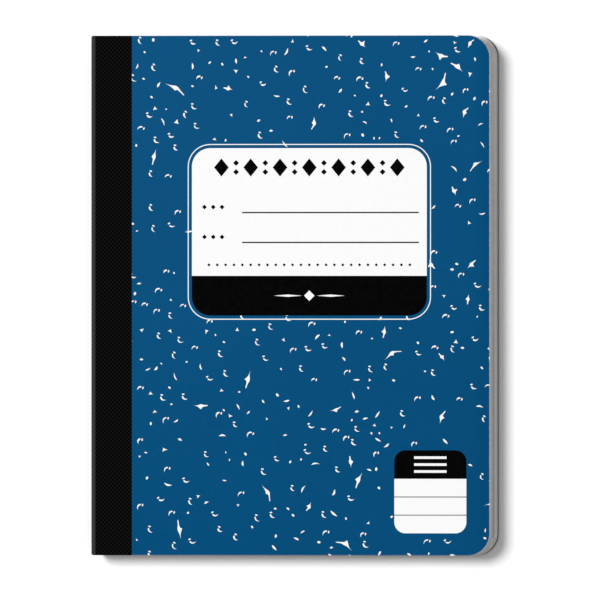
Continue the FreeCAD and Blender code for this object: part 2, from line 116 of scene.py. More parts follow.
@dataclass(frozen=True)
class Area:
    """A level rectangle that flecks keep clear of."""

    left: float
    bottom: float
    right: float
    top: float

    def near(self, x: float, y: float, reach: float) -> bool:
        """Tells whether a point lies within a reach of the rectangle."""
        beside = x < self.left - reach or x > self.right + reach
        return not (beside or y < self.bottom - reach or y > self.top + reach)


class Side(Enum):
    """Which cover a piece belongs to; the value is the name of its body."""

    FRONT = "front"
    BACK = "back"


# Work in edit mode

class Pick(Enum):
    """What a selection is made of."""

    VERTS = "VERT"
    EDGES = "EDGE"
    FACES = "FACE"


def deselect_all() -> None:
    """Leaves edit mode and selects nothing."""
    if bpy.context.object is not None and bpy.context.object.mode != "OBJECT":
        bpy.ops.object.mode_set(mode="OBJECT")
    bpy.ops.object.select_all(action="DESELECT")


def take(piece: bpy.types.Object) -> bpy.types.Object:
    """Makes one object the only selected and the active one.

    Args:
        piece: The object to work on.

    Returns:
        The same object.
    """
    deselect_all()
    piece.select_set(True)
    bpy.context.view_layer.objects.active = piece
    return piece


@contextmanager
def editing(piece: bpy.types.Object) -> Iterator[None]:
    """Opens a mesh in edit mode with all of it selected, and closes it afterwards.

    Args:
        piece: The mesh object to edit.
    """
    take(piece)
    bpy.ops.object.mode_set(mode="EDIT")
    bpy.ops.mesh.select_mode(type="VERT")
    bpy.ops.mesh.select_all(action="SELECT")
    yield
    bpy.ops.object.mode_set(mode="OBJECT")


def pick(piece: bpy.types.Object, kind: Pick, test: Callable[[Any], bool]) -> int:
    """Selects the elements of the mesh in edit mode that pass a test, and no others.

    Args:
        piece: The object in edit mode.
        kind: Vertices, edges or faces.
        test: Tells whether one element is wanted.

    Returns:
        How many elements are selected.
    """
    bpy.ops.mesh.select_mode(type=kind.value)
    bpy.ops.mesh.select_all(action="DESELECT")
    mesh = bmesh.from_edit_mesh(piece.data)
    elements = {Pick.VERTS: mesh.verts, Pick.EDGES: mesh.edges, Pick.FACES: mesh.faces}[kind]
    wanted = [element for element in elements if test(element)]
    for element in wanted:
        element.select_set(True)
    mesh.select_flush_mode()
    bmesh.update_edit_mesh(piece.data)
    return len(wanted)


def lies_along(edge: Any, axis: int) -> bool:
    """Tells whether an edge runs along one axis."""
    run = edge.verts[1].co - edge.verts[0].co
    return abs(run[axis]) > 0.99 * run.length


def centre_of(edge: Any) -> Vector:
    """Returns the middle of an edge."""
    return (edge.verts[0].co + edge.verts[1].co) / 2


def cut_away(place: Vector, outwards: Vector) -> None:
    """Cuts the mesh in edit mode with a plane, drops what is outside and closes the cut.

    Args:
        place: A point on the plane.
        outwards: The direction of the part that goes.
    """
    bpy.ops.mesh.select_all(action="SELECT")
    bpy.ops.mesh.bisect(
        plane_co=place, plane_no=outwards, use_fill=True, clear_outer=True, threshold=TOUCHING
    )


def face_outwards(piece: bpy.types.Object) -> None:
    """Merges doubled points and turns every face outwards.

    Args:
        piece: The mesh object.
    """
    with editing(piece):
        bpy.ops.mesh.remove_doubles(threshold=TOUCHING)
        bpy.ops.mesh.normals_make_consistent(inside=False)


def apply_modifier(piece: bpy.types.Object, kind: str, **settings: Any) -> None:
    """Adds one modifier with its settings and applies it.

    Args:
        piece: The object that gets it.
        kind: The modifier's type.
        **settings: Values for its properties.
    """
    take(piece)
    modifier = piece.modifiers.new(kind.title(), kind)
    for name, value in settings.items():
        setattr(modifier, name, value)
    bpy.ops.object.modifier_apply(modifier=modifier.name)


def smooth_by_angle(piece: bpy.types.Object, degrees: float) -> None:
    """Shades a piece smooth except where it turns by more than an angle."""
    take(piece)
    bpy.ops.object.shade_smooth_by_angle(angle=math.radians(degrees))


def dress(piece: bpy.types.Object, finishes: Sequence[bpy.types.Material]) -> None:
    """Gives a piece its materials, one to each slot in order.

    Args:
        piece: The mesh object.
        finishes: A material for each slot, in order.
    """
    piece.data.materials.clear()
    for finish in finishes:
        piece.data.materials.append(finish)


def curve_to_mesh(
    name: str, splines: Sequence[Sequence[Vector]], kind: str, closed: bool, **settings: Any
) -> bpy.types.Object:
    """Draws splines as one curve and turns them into a mesh.

    Args:
        name: Name of the new object.
        splines: Control points of each spline.
        kind: POLY for straight runs, NURBS for smooth outlines.
        closed: Whether each spline is a loop.
        **settings: Values for the curve's own properties.

    Returns:
        The mesh object, with its place in its mesh.
    """
    deselect_all()
    curve = bpy.data.curves.new(name, "CURVE")
    for key, value in settings.items():
        setattr(curve, key, value)
    for points in splines:
        spline = curve.splines.new(kind)
        spline.points.add(len(points) - 1)
        for slot, point in zip(spline.points, points):
            slot.co = (*point, 1.0)
        spline.use_cyclic_u = closed
        spline.order_u = 3
        spline.resolution_u = 3
    piece = bpy.data.objects.new(name, curve)
    bpy.context.scene.collection.objects.link(piece)
    take(piece)
    bpy.ops.object.convert(target="MESH")
    return piece


# Shader nodes

class Canvas:
    """Adds nodes to one node tree and joins them."""

    def __init__(self, tree: bpy.types.NodeTree) -> None:
        """Keeps the tree that is drawn on."""
        self.tree = tree

    def add(
        self, kind: str, inputs: Optional[dict[Any, Any]] = None, **settings: Any
    ) -> bpy.types.Node:
        """Adds one node.

        Args:
            kind: The node's type name.
            inputs: What each input gets, by its name or its number.
            **settings: Values for the node's own properties.

        Returns:
            The new node.
        """
        node = self.tree.nodes.new(kind)
        for name, value in settings.items():
            setattr(node, name, value)
        for key, value in (inputs or {}).items():
            self.feed(node.inputs[key], value)
        return node

    def feed(self, socket: bpy.types.NodeSocket, value: Any) -> None:
        """Joins a value to an input, or sets the input's own; colours are opaque.

        Args:
            socket: The input.
            value: A Value to join, a number or a colour.
        """
        if isinstance(value, Value):
            self.tree.links.new(value.socket, socket)
        elif value is not None:
            socket.default_value = (*value, 1.0) if socket.type == "RGBA" else value

    def value(
        self, kind: str, inputs: dict[Any, Any], output: Any = 0, **settings: Any
    ) -> "Value":
        """Adds one node and returns one of its outputs."""
        return Value(self, self.add(kind, inputs, **settings).outputs[output])

    def values(
        self, kind: str, inputs: Optional[dict[Any, Any]] = None, **settings: Any
    ) -> dict[str, "Value"]:
        """Adds one node and returns its outputs by name."""
        outputs = self.add(kind, inputs, **settings).outputs
        return {socket.name: Value(self, socket) for socket in outputs}

    def group(self, tree: bpy.types.NodeTree, **inputs: Any) -> dict[str, "Value"]:
        """Places a node group and returns its outputs by name."""
        return self.values("ShaderNodeGroup", inputs, node_tree=tree)


@dataclass(frozen=True)
class Value:
    """An output socket to reckon with: each step adds the node that does it."""

    canvas: Canvas
    socket: bpy.types.NodeSocket

    def reckon(self, operation: str, other: Any = None, clamp: bool = False) -> "Value":
        """Adds a math node for this value and another.

        Args:
            operation: What it works out.
            other: A Value, a number or nothing.
            clamp: Whether the result is kept between 0 and 1.

        Returns:
            The result.
        """
        return self.canvas.value(
            "ShaderNodeMath", {0: self, 1: other}, operation=operation, use_clamp=clamp
        )

    __add__ = partialmethod(reckon, "ADD")
    __sub__ = partialmethod(reckon, "SUBTRACT")
    __mul__ = partialmethod(reckon, "MULTIPLY")
    __truediv__ = partialmethod(reckon, "DIVIDE")
    __abs__ = partialmethod(reckon, "ABSOLUTE")
    __gt__ = partialmethod(reckon, "GREATER_THAN")
    __lt__ = partialmethod(reckon, "LESS_THAN")

    def __rsub__(self, number: float) -> "Value":
        """Takes this value from a number."""
        return self.canvas.value("ShaderNodeMath", {0: number, 1: self}, operation="SUBTRACT")

    def ramp(self, low: Any, high: Any, start: float = 0.0, end: float = 1.0) -> "Value":
        """Maps this value smoothly from one range to another.

        Args:
            low: The number or value that gives start.
            high: The number or value that gives end.
            start: The result at low.
            end: The result at high.

        Returns:
            The mapped value.
        """
        inputs = dict(enumerate((self, low, high, start, end)))
        return self.canvas.value("ShaderNodeMapRange", inputs, interpolation_type="SMOOTHSTEP")

    def noise(self, scale: float, detail: float = 2.0) -> "Value":
        """Returns the noise at this place."""
        inputs = {"Vector": self, "Scale": scale, "Detail": detail}
        return self.canvas.value("ShaderNodeTexNoise", inputs, "Fac")

    def mix(self, first: Any, second: Any) -> "Value":
        """Mixes two colours; this value is the second one's share."""
        inputs = {0: self, 6: first, 7: second}
        return self.canvas.value("ShaderNodeMix", inputs, 2, data_type="RGBA")

    def split(self) -> list["Value"]:
        """Returns the X, Y and Z of this vector."""
        return list(self.canvas.values("ShaderNodeSeparateXYZ", {0: self}).values())


class Group(Canvas):
    """A canvas on a new node group, with its inputs ready to use."""

    def __init__(self, name: str, **inputs: Optional[float]) -> None:
        """Starts the group.

        Args:
            name: Name of the group.
            **inputs: Default of each input; None stands for a vector.
        """
        super().__init__(bpy.data.node_groups.new(name, "ShaderNodeTree"))
        for label, default in inputs.items():
            kind = "NodeSocketVector" if default is None else "NodeSocketFloat"
            entry = self.tree.interface.new_socket(name=label, in_out="INPUT", socket_type=kind)
            if default is not None:
                entry.default_value = default
        self.given = self.values("NodeGroupInput")

    def close(self, **results: Value) -> bpy.types.NodeTree:
        """Adds the outputs and joins their values to them.

        Args:
            **results: What each output gives, by its name.

        Returns:
            The group.
        """
        for label in results:
            self.tree.interface.new_socket(
                name=label, in_out="OUTPUT", socket_type="NodeSocketFloat"
            )
        self.add("NodeGroupOutput", results)
        return self.tree


@dataclass
class SurfaceEffects:
    """Node groups that the finishes use, built once; scales are per metre."""

    book: BookSizes
    fine_fibres: float = 1400.0
    coarse_fibres: float = 380.0
    slow_drift: float = 14.0
    ragged_edge: float = 900.0
    leaf_scale: Point = (9.0, 5200.0)
    broad_streaks: float = 0.085
    end_fade: float = 0.3 * MM

    def __post_init__(self) -> None:
        """Builds every group."""
        self.fibre = self.build_fibre()
        self.edge = self.build_edge()
        self.weave = self.build_weave()
        self.stripe = self.build_stripe()
        self.streaks = self.build_streaks()

    def build_fibre(self) -> bpy.types.NodeTree:
        """Fine paper fibres for bumps, and a slow drift of tone.

        Returns:
            The group.
        """
        group = Group("paper_fibre", vector=None, scale=1.0, stretch=3.0)
        place = group.given["vector"]
        scale, stretch = group.given["scale"], group.given["stretch"]
        x, y, z = place.split()
        stretched = group.value("ShaderNodeCombineXYZ", {0: x, 1: y / stretch, 2: z})
        scaled = group.value(
            "ShaderNodeVectorMath", {0: stretched, "Scale": scale}, operation="SCALE"
        )
        coarse = place.noise(self.coarse_fibres, 3.0)
        return group.close(
            height=scaled.noise(self.fine_fibres, 4.0) + coarse * 0.5,
            drift=place.noise(self.slow_drift).ramp(0.3, 0.7),
            mottle=coarse.ramp(0.3, 0.7),
        )

    def build_edge(self) -> bpy.types.NodeTree:
        """A mask that is 1 on the outline of a cover and fades inwards.

        Returns:
            The group.
        """
        group = Group(
            "edge_wear",
            vector=None, centre=0.0, half_width=0.1, half_height=0.1, radius=0.01, reach=0.001,
        )
        given = group.given
        x, y, _ = given["vector"].split()
        past_x = abs(x - given["centre"]) - (given["half_width"] - given["radius"])
        past_y = abs(y) - (given["half_height"] - given["radius"])
        out_x, out_y = (past.reckon("MAXIMUM", 0.0) for past in (past_x, past_y))
        outside = (out_x * out_x + out_y * out_y).reckon("SQRT")
        inside = past_x.reckon("MAXIMUM", past_y).reckon("MINIMUM", 0.0)
        depth = outside + inside - given["radius"]
        fade = depth / (given["reach"] * given["vector"].noise(self.ragged_edge, 3.0))
        return group.close(mask=fade.reckon("ADD", 1.0, clamp=True))

    def build_weave(self) -> bpy.types.NodeTree:
        """A plain weave: threads pass over and under each other in turn.

        Returns:
            The group.
        """
        group = Group("cloth_weave", vector=None, cell=0.001)
        turns = [side / group.given["cell"] for side in group.given["vector"].split()[:2]]
        waves = [(turn * math.pi).reckon("SINE") for turn in turns]
        crossing = waves[0] * waves[1]
        over = crossing.ramp(-0.3, 0.3)
        ridges = [abs((turn * (3 * math.pi)).reckon("SINE")) for turn in turns]
        strand = group.value(
            "ShaderNodeMix", {0: over, 2: ridges[0], 3: ridges[1]}, data_type="FLOAT"
        )
        return group.close(height=abs(crossing) + strand * 0.25, over=over, strand=strand)

    def build_stripe(self) -> bpy.types.NodeTree:
        """A mask of lines that repeat along one value.

        Returns:
            The group.
        """
        group = Group("ruled_stripe", run=0.0, pitch=0.01, width=0.0003)
        given = group.given
        from_middle = abs((given["run"] / given["pitch"]).reckon("FRACT") - 0.5)
        distance = (0.5 - from_middle) * given["pitch"]
        return group.close(mask=distance < given["width"] * 0.5)

    def build_streaks(self) -> bpy.types.NodeTree:
        """Painted light and shade in streaks along the leaves, as though some leaves caught more
        light than others, and painted light on the first and last leaves.

        Returns:
            The group.
        """
        group = Group("leaf_streaks", vector=None, first=0.01, last=0.0)
        first, last = group.given["first"], group.given["last"]
        x, y, z = group.given["vector"].split()
        along, through = self.leaf_scale
        layer = group.value("ShaderNodeCombineXYZ", {0: x, 1: y * along, 2: z * through})
        both = layer.noise(1.0) * 0.25 + layer.noise(self.broad_streaks, 1.0) * 0.75
        top = z.ramp(first - self.end_fade, first)
        bottom = z.ramp(last, last + self.end_fade, 1.0, 0.0)
        return group.close(mask=both.ramp(0.42, 0.58), ends=top.reckon("MAXIMUM", bottom))


class Finish(Canvas):
    """A material under way, with its surface shader and its coordinates."""

    def __init__(
        self, effects: SurfaceEffects, name: str, roughness: float, specular: float
    ) -> None:
        """Starts a material.

        Args:
            effects: The shared node groups.
            name: Name of the material.
            roughness: Roughness of its surface.
            specular: Strength of its plain reflection.
        """
        self.effects = effects
        self.material = bpy.data.materials.new(name)
        self.material.use_nodes = True
        super().__init__(self.material.node_tree)
        self.tree.nodes.clear()
        self.surface = self.add(
            "ShaderNodeBsdfPrincipled", {"Roughness": roughness, "Specular IOR Level": specular}
        )
        self.add("ShaderNodeOutputMaterial", {"Surface": Value(self, self.surface.outputs[0])})
        coordinates = self.values("ShaderNodeTexCoord")
        self.place, self.uv = coordinates["Object"], coordinates["UV"]

    def coat(
        self, colour: Value, height: Value, depth: float, strength: float, rough: Any = None
    ) -> bpy.types.Material:
        """Feeds the surface.

        Args:
            colour: The base colour.
            height: What raises the surface, from 0 to about 1.
            depth: How far 1 stands out, in metres.
            strength: How strongly the height shades.
            rough: The roughness, where it varies.

        Returns:
            The material.
        """
        bump = self.value(
            "ShaderNodeBump", {"Strength": strength, "Distance": depth, "Height": height}
        )
        for name, value in (("Normal", bump), ("Base Color", colour), ("Roughness", rough)):
            self.feed(self.surface.inputs[name], value)
        return self.material

    def fibres(self, scale: float = 1.0, stretch: float = 3.0) -> dict[str, Value]:
        """Places the paper fibres and returns their height, drift and mottle."""
        return self.group(self.effects.fibre, vector=self.place, scale=scale, stretch=stretch)

    def paper(
        self, colour: Value, fibre: dict[str, Value], rough: Point, depth: float, strength: float
    ) -> bpy.types.Material:
        """Feeds the surface with fibres that raise it and change its roughness.

        Args:
            colour: The base colour.
            fibre: The paper fibres.
            rough: The least and the greatest roughness.
            depth: How far the fibres stand out, in metres.
            strength: How strongly they shade.

        Returns:
            The material.
        """
        roughness = fibre["mottle"].ramp(0.0, 1.0, *rough)
        return self.coat(colour, fibre["height"], depth, strength, roughness)

    def cover_edge(self, centre: float, reach: float) -> Value:
        """Adds a mask that is 1 on a cover's outline and fades inwards.

        Args:
            centre: X of the middle of the cover.
            reach: How far inwards the mask goes at most.

        Returns:
            The mask.
        """
        book = self.effects.book
        return self.group(
            self.effects.edge, vector=self.place, centre=centre, half_width=book.cover_width / 2,
            half_height=book.half_height, radius=book.corner, reach=reach,
        )["mask"]


@dataclass(frozen=True)
class PrintedBoard:
    """Coated board printed in one deep colour, rubbed pale along its cut edge."""

    ink: Colour = (0.0, 0.0765, 0.2030)
    deepened: float = 0.94
    speck: Colour = (0.004, 0.09, 0.23)
    speck_share: float = 0.12
    worn: Colour = (0.46, 0.46, 0.52)
    wear: Point = (0.25, 0.95)
    wear_reach: float = 0.6 * MM
    rough: Point = (0.46, 0.56)
    grain: Point = (0.004 * MM, 0.35)

    def material(self, effects: SurfaceEffects, centre: float) -> Any:
        """Builds the material.

        Args:
            effects: The shared node groups.
            centre: X of the middle of the cover.

        Returns:
            The material.
        """
        finish = Finish(effects, "printed_cover", 0.5, 0.05)
        fibre = finish.fibres()
        deep = (self.ink[0], self.ink[1] * self.deepened, self.ink[2] * self.deepened)
        tone = fibre["drift"].mix(self.ink, deep)
        speckled = (fibre["mottle"] * self.speck_share).mix(tone, self.speck)
        edge = finish.cover_edge(centre, self.wear_reach)
        book = effects.book
        fore = centre + book.cover_width / 2
        rubbed = finish.place.split()[0].ramp(fore - book.corner, fore - 2 * MM, *self.wear)
        worn = edge.ramp(0.0, 0.5) * rubbed
        return finish.paper(worn.mix(speckled, self.worn), fibre, self.rough, *self.grain)


@dataclass(frozen=True)
class PrintInk:
    """One flat ink of the label, the badge or the marbling."""

    name: str
    ink: Colour
    drift: Colour
    sheen: float = 0.12
    rough: Point = (0.45, 0.57)
    grain: Point = (0.003 * MM, 0.3)

    def material(self, effects: SurfaceEffects) -> Any:
        """Builds the material from the shared node groups.

        Args:
            effects: The shared node groups.

        Returns:
            The material.
        """
        finish = Finish(effects, self.name, 0.5, self.sheen)
        fibre = finish.fibres()
        tone = fibre["mottle"].mix(self.ink, self.drift)
        return finish.paper(tone, fibre, self.rough, *self.grain)


@dataclass(frozen=True)
class PlainPaper:
    """Uncoated fibrous paper or board, with specks."""

    name: str
    light: Colour
    dark: Colour
    stretch: float = 3.0
    speck_scale: float = 2600.0
    speck_dark: float = 0.8
    rough: Point = (0.8, 0.92)
    grain: Point = (0.012 * MM, 0.5)

    def material(self, effects: SurfaceEffects) -> Any:
        """Builds the material from the shared node groups.

        Args:
            effects: The shared node groups.

        Returns:
            The material.
        """
        finish = Finish(effects, self.name, 0.85, 0.15)
        fibre = finish.fibres(stretch=self.stretch)
        tone = fibre["drift"].mix(self.light, self.dark)
        specks = finish.place.noise(self.speck_scale, 1.0).ramp(0.72, 0.8, 0.0, 0.35)
        spotted = specks.mix(tone, tuple(self.speck_dark * part for part in self.dark))
        return finish.paper(spotted, fibre, self.rough, *self.grain)


@dataclass(frozen=True)
class BoardLining:
    """Pale inside of a cover, darkened along its outline with painted shade for the gap where the
    leaves meet the board.
    """

    light: Colour = (0.80, 0.80, 0.78)
    shade: Colour = (0.76, 0.76, 0.74)
    # painted shade: the dark colour along the outline, for the gap where the leaves meet the board
    painted_gap_shade: Colour = (0.07, 0.07, 0.07)
    reach: float = 1.3 * MM
    rough: Point = (0.8, 0.92)
    grain: Point = (0.012 * MM, 0.5)

    def material(self, effects: SurfaceEffects, centre: float) -> Any:
        """Builds the material.

        Args:
            effects: The shared node groups.
            centre: X of the middle of the cover.

        Returns:
            The material.
        """
        finish = Finish(effects, "board_lining", 0.85, 0.1)
        fibre = finish.fibres()
        tone = fibre["drift"].mix(self.light, self.shade)
        # painted shade along the outline of the inside, where the leaves meet the board
        edge_band = finish.cover_edge(centre, self.reach).ramp(0.0, 0.3)
        return finish.paper(edge_band.mix(tone, self.painted_gap_shade), fibre, self.rough, *self.grain)


@dataclass(frozen=True)
class RuledPaper:
    """White writing paper with blue rules and one red margin line; near the fore edge it takes the
    painted light and shade of the leaf edges.
    """

    paper: Colour = (0.86, 0.86, 0.84)
    shade: Colour = (0.82, 0.82, 0.80)
    rule: Colour = (0.25, 0.45, 0.72)
    margin: Colour = (0.75, 0.16, 0.20)
    pitch: float = 8.73 * MM
    head_space: float = 30.0 * MM
    foot_space: float = 8.0 * MM
    margin_from_spine: float = 31.75 * MM
    line_width: float = 0.25 * MM
    end_gap: float = 1.55 * MM
    edge_band: float = 0.3 * MM
    rough: Point = (0.8, 0.92)
    grain: Point = (0.01 * MM, 0.4)

    def material(self, effects: SurfaceEffects) -> Any:
        """Builds the material from the shared node groups.

        Args:
            effects: The shared node groups.

        Returns:
            The material.
        """
        finish = Finish(effects, "ruled_paper", 0.85, 0.15)
        fibre = finish.fibres()
        x, y, z = finish.place.split()
        book = effects.book
        run = (book.half_height - self.head_space) - y
        stripe = {"run": run, "pitch": self.pitch, "width": self.line_width}
        rules = finish.group(effects.stripe, **stripe)["mask"]
        lean = book.lean / (book.leaf_count * book.leaf)
        fall = (book.thickness - book.board) - z
        fore = fall * lean + (book.fore_x - self.end_gap)
        sides = (run > -0.5 * self.pitch) * (y > self.foot_space - book.half_height) * (x < fore)
        edge_band = x > fore + (self.end_gap - book.leaf_inset - self.edge_band)
        margin = abs(x - (book.spine_x + self.margin_from_spine)) < self.line_width / 2
        tone = fibre["drift"].mix(self.paper, self.shade)
        ruled = margin.mix((rules * sides).mix(tone, self.rule), self.margin)
        # painted light and shade: the leaves' margins next to the fore edge take the streaks of
        # the cut edges
        _, edge_tone = LeafEdges().tone(finish)
        return finish.paper(edge_band.mix(ruled, edge_tone), fibre, self.rough, *self.grain)


@dataclass(frozen=True)
class LeafEdges:
    """Cut edges of the leaves: greys that change from leaf to leaf, painted light and shade, with
    painted light on the first and last leaves.
    """

    light: Colour = (0.98, 0.97, 0.96)
    dark: Colour = (0.64, 0.635, 0.63)
    # painted light on the first and last leaves
    pale: Colour = (0.99, 0.99, 0.98)
    first_depth: float = 1.9 * MM
    last_depth: float = 0.8 * MM
    grain: Point = (0.03 * MM, 0.5)

    def material(self, effects: SurfaceEffects) -> Any:
        """Builds the material from the shared node groups.

        Args:
            effects: The shared node groups.

        Returns:
            The material.
        """
        finish = Finish(effects, "leaf_edges", 0.9, 0.1)
        fibre = finish.fibres(scale=2.0)
        streaks, tone = self.tone(finish)
        return finish.coat(tone, streaks + fibre["height"], *self.grain)

    def tone(self, finish: Finish) -> tuple[Value, Value]:
        """Adds the streaks of painted light and shade, and their colour, to a material.

        Args:
            finish: The material under way.

        Returns:
            The streaks' mask and the colour.
        """
        effects, book = finish.effects, finish.effects.book
        first = book.thickness - book.board - self.first_depth
        last = book.board + self.last_depth
        streaks = finish.group(effects.streaks, vector=finish.place, first=first, last=last)
        # painted light and shade: lighter and darker leaves, and the first and last leaves painted
        # light
        streaked = streaks["mask"].mix(self.light, self.dark)
        return streaks["mask"], streaks["ends"].mix(streaked, self.pale)


@dataclass(frozen=True)
class BookCloth:
    """Black woven cloth tape, with threads that pass over and under in turn, and a painted
    highlight along its bends.
    """

    cell: float = 0.97 * MM
    under: Colour = (0.0, 0.0, 0.0)
    over: Colour = (0.0066, 0.0066, 0.0066)
    fluff: Colour = (0.011, 0.011, 0.011)
    fluff_scale: float = 700.0
    strand_share: float = 0.12
    # painted highlight: the paler grey the bends get, where the rounded spine would catch the
    # light
    rubbed: Colour = (0.040, 0.040, 0.042)
    bend_highlight_fade: float = 0.3 * MM
    grain: Point = (0.05 * MM, 0.6)

    def material(self, effects: SurfaceEffects, bend_start: float, bend_end: float) -> Any:
        """Builds the material, with the painted highlight on the bends.

        Args:
            effects: The shared node groups.
            bend_start: Distance from the middle of the spine where the bends begin.
            bend_end: Distance where they end.

        Returns:
            The material.
        """
        finish = Finish(effects, "book_cloth", 0.8, 0.01)
        weave = finish.group(effects.weave, vector=finish.uv, cell=self.cell)
        tone = weave["over"].mix(self.under, self.over)
        shaded = (weave["strand"] * self.strand_share).mix(tone, self.over)
        lint = finish.uv.noise(self.fluff_scale, 3.0).ramp(0.62, 0.8, 0.0, 0.4)
        run = abs(finish.uv.split()[0])
        # painted highlight along the bends, strongest on the threads on top
        fade = self.bend_highlight_fade
        begun = run.ramp(bend_start - fade, bend_start + fade)
        over = run.ramp(bend_end - fade, bend_end + fade, 1.0, 0.0)
        bend_highlight = begun * over * weave["over"].ramp(0.0, 1.0, 0.6, 1.0)
        colour = bend_highlight.mix(lint.mix(shaded, self.fluff), self.rubbed)
        rough = weave["height"].ramp(0.0, 1.2, 0.88, 0.72)
        return finish.coat(colour, weave["height"], *self.grain, rough)


@dataclass(frozen=True)
class SewingCotton:
    """White twisted thread."""

    light: Colour = (0.82, 0.80, 0.74)
    dark: Colour = (0.50, 0.48, 0.43)
    twist: float = 0.45 * MM
    fluff_scale: float = 6000.0
    grain: Point = (0.04 * MM, 0.7)

    def material(self, effects: SurfaceEffects) -> Any:
        """Builds the material from the shared node groups.

        Args:
            effects: The shared node groups.

        Returns:
            The material.
        """
        finish = Finish(effects, "sewing_cotton", 0.8, 0.2)
        x, y, z = finish.place.split()
        phase = (y + (x + z)) * (2 * math.pi / self.twist)
        ply = phase.reckon("SINE").ramp(-1.0, 1.0)
        fluff = finish.place.noise(self.fluff_scale)
        return finish.coat((ply * fluff).mix(self.light, self.dark), ply, *self.grain)


# Marbling

class FleckMaker:
    """Draws the kinds of fleck that the marbling is made of, round (0, 0), in millimetres."""

    comma_turns: tuple[int, ...] = (160, 78, 168, 208, 70)
    comma_turn_drift: float = 16.0
    comma_bend: Point = (1.25, 1.65)
    comma_sweep: Point = (108, 148)
    comma_width: Point = (0.5, 0.72)
    comma_swell: Outline = [(0, 0.75), (0.18, 1.2), (0.45, 1.15), (0.75, 0.6)]
    comma_reach: float = 2.1
    comma_tip: float = 1.06
    comma_middle: float = 0.4
    oval_corners: int = 5
    loose_drop: Point = (0.625, 0.34)
    drop_gap: float = 0.9
    drop_half: Point = (0.45, 0.85)
    drop_squash: Point = (0.5, 0.75)
    sliver_half: Point = (0.9, 2.2)
    sliver_width: Point = (0.26, 0.46)
    sliver_swell: float = 1.2
    sliver_bow: float = 0.22
    sliver_points: Shares = [
        (-1, 0, -1), (-1, 0, -1), (-0.2, -1, 0.4), (0.5, -0.9, 0.2),
        (1, 0, -1), (1, 0, -1), (0.4, 1, 0.2), (-0.3, 0.8, 0.4),
    ]
    wedge_size: Point = (0.9, 1.6)
    wedge_turns: tuple[int, ...] = (0, 125, 235)
    wedge_drift: float = 20.0
    wedge_share: Point = (0.6, 1.0)
    wedge_hollow: float = 0.38
    splash_half: Point = (2.2, 5.4)
    splash_body: Point = (0.75, 1.2)
    splash_bow: float = 0.35
    splash_spur: Point = (0.2, 0.9)
    splash_points: Shares = [
        (-1, 0, -1, 0), (-1, 0, -1, 0), (-0.5, -0.2, -0.6, 0), (-0.26, -0.85, -0.2, 0),
        (-0.08, -0.95, 0, -0.6), (0.02, -0.95, 0, -1.25), (0.08, -0.9, 0, -0.9),
        (0.16, -0.55, 0, 0), (0.5, -0.26, -0.35, 0), (0.88, -0.3, -0.85, 0), (1.02, 0, -1, 0),
        (0.86, 0.3, -0.8, 0), (0.45, 0.3, -0.3, 0), (0.12, 0.85, 0, 0), (-0.14, 0.75, 0, 0),
        (-0.5, 0.12, -0.5, 0),
    ]

    def __init__(self, seed: int) -> None:
        """Starts the row of random draws from a seed.

        Args:
            seed: What the draws start from.
        """
        self.rng = random.Random(seed)
        self.kinds: list[tuple[float, Callable[[], tuple[list[Outline], float]]]] = [
            (0.42, self.comma),
            (0.59, self.drop),
            (0.79, self.sliver),
            (0.88, self.wedge),
            (1.0, self.splash),
        ]

    def between(self, ends: Point) -> float:
        """Draws a number between two ends."""
        return self.rng.uniform(*ends)

    def about(self, most: float) -> float:
        """Draws a number round 0."""
        return self.rng.uniform(-most, most)

    @staticmethod
    def polar(radius: float, angle: float) -> Point:
        """Returns the point at a radius and an angle."""
        return radius * math.cos(angle), radius * math.sin(angle)

    @staticmethod
    def spread(points: Shares, half: float, *sizes: float) -> Outline:
        """Draws an outline from a table.

        Args:
            points: Each point's share of the half length, then of each size.
            half: Half the length.
            *sizes: What adds up across the length.

        Returns:
            The points in millimetres.
        """
        return [
            (along * half, sum(share * size for share, size in zip(across, sizes)))
            for along, *across in points
        ]

    @classmethod
    def oval(cls, centre: Point, half_length: float, half_width: float) -> Outline:
        """An oval that comes out at its stated size.

        Args:
            centre: Its middle.
            half_length: Half its length, along X.
            half_width: Half its width, along Y.

        Returns:
            The control points.
        """
        corners = cls.oval_corners
        swell = 1.0 / (0.5 + 0.5 * math.cos(2 * math.pi / corners))
        turns = [2 * math.pi * n / corners for n in range(corners)]
        grown = math.sqrt(swell)
        return [
            (
                centre[0] + grown * half_length * math.cos(turn),
                centre[1] + grown * half_width * math.sin(turn),
            )
            for turn in turns
        ]

    def comma(self) -> tuple[list[Outline], float]:
        """A hooked stroke with a loose drop beyond its thick end.

        Returns:
            Its outlines, and how far it reaches.
        """
        bend = self.between(self.comma_bend)
        sweep = math.radians(self.between(self.comma_sweep))
        width = self.between(self.comma_width)
        outer, inner = (
            [
                self.polar(bend + side * width * swell / 2, sweep * along)
                for along, swell in self.comma_swell
            ]
            for side in (1, -1)
        )
        tip = self.polar(bend * self.comma_tip, sweep)
        stroke = outer + [tip, tip] + inner[:0:-1] + [inner[0], inner[0]]
        drop = self.oval(self.polar(bend, -self.drop_gap / bend), *self.loose_drop)
        middle = self.polar(bend, self.comma_middle * sweep)
        shapes = [[(x - middle[0], y - middle[1]) for x, y in part] for part in (stroke, drop)]
        return shapes, self.comma_reach

    def drop(self) -> tuple[list[Outline], float]:
        """A single rounded spot."""
        length = self.between(self.drop_half)
        return [self.oval((0, 0), length, length * self.between(self.drop_squash))], length

    def sliver(self) -> tuple[list[Outline], float]:
        """A thin stroke that bends a little and runs out at both ends.

        Returns:
            Its outlines, and how far it reaches.
        """
        half = self.between(self.sliver_half)
        width = self.between(self.sliver_width) * self.sliver_swell
        bow = self.about(self.sliver_bow) * half
        return [self.spread(self.sliver_points, half, width, bow)], half

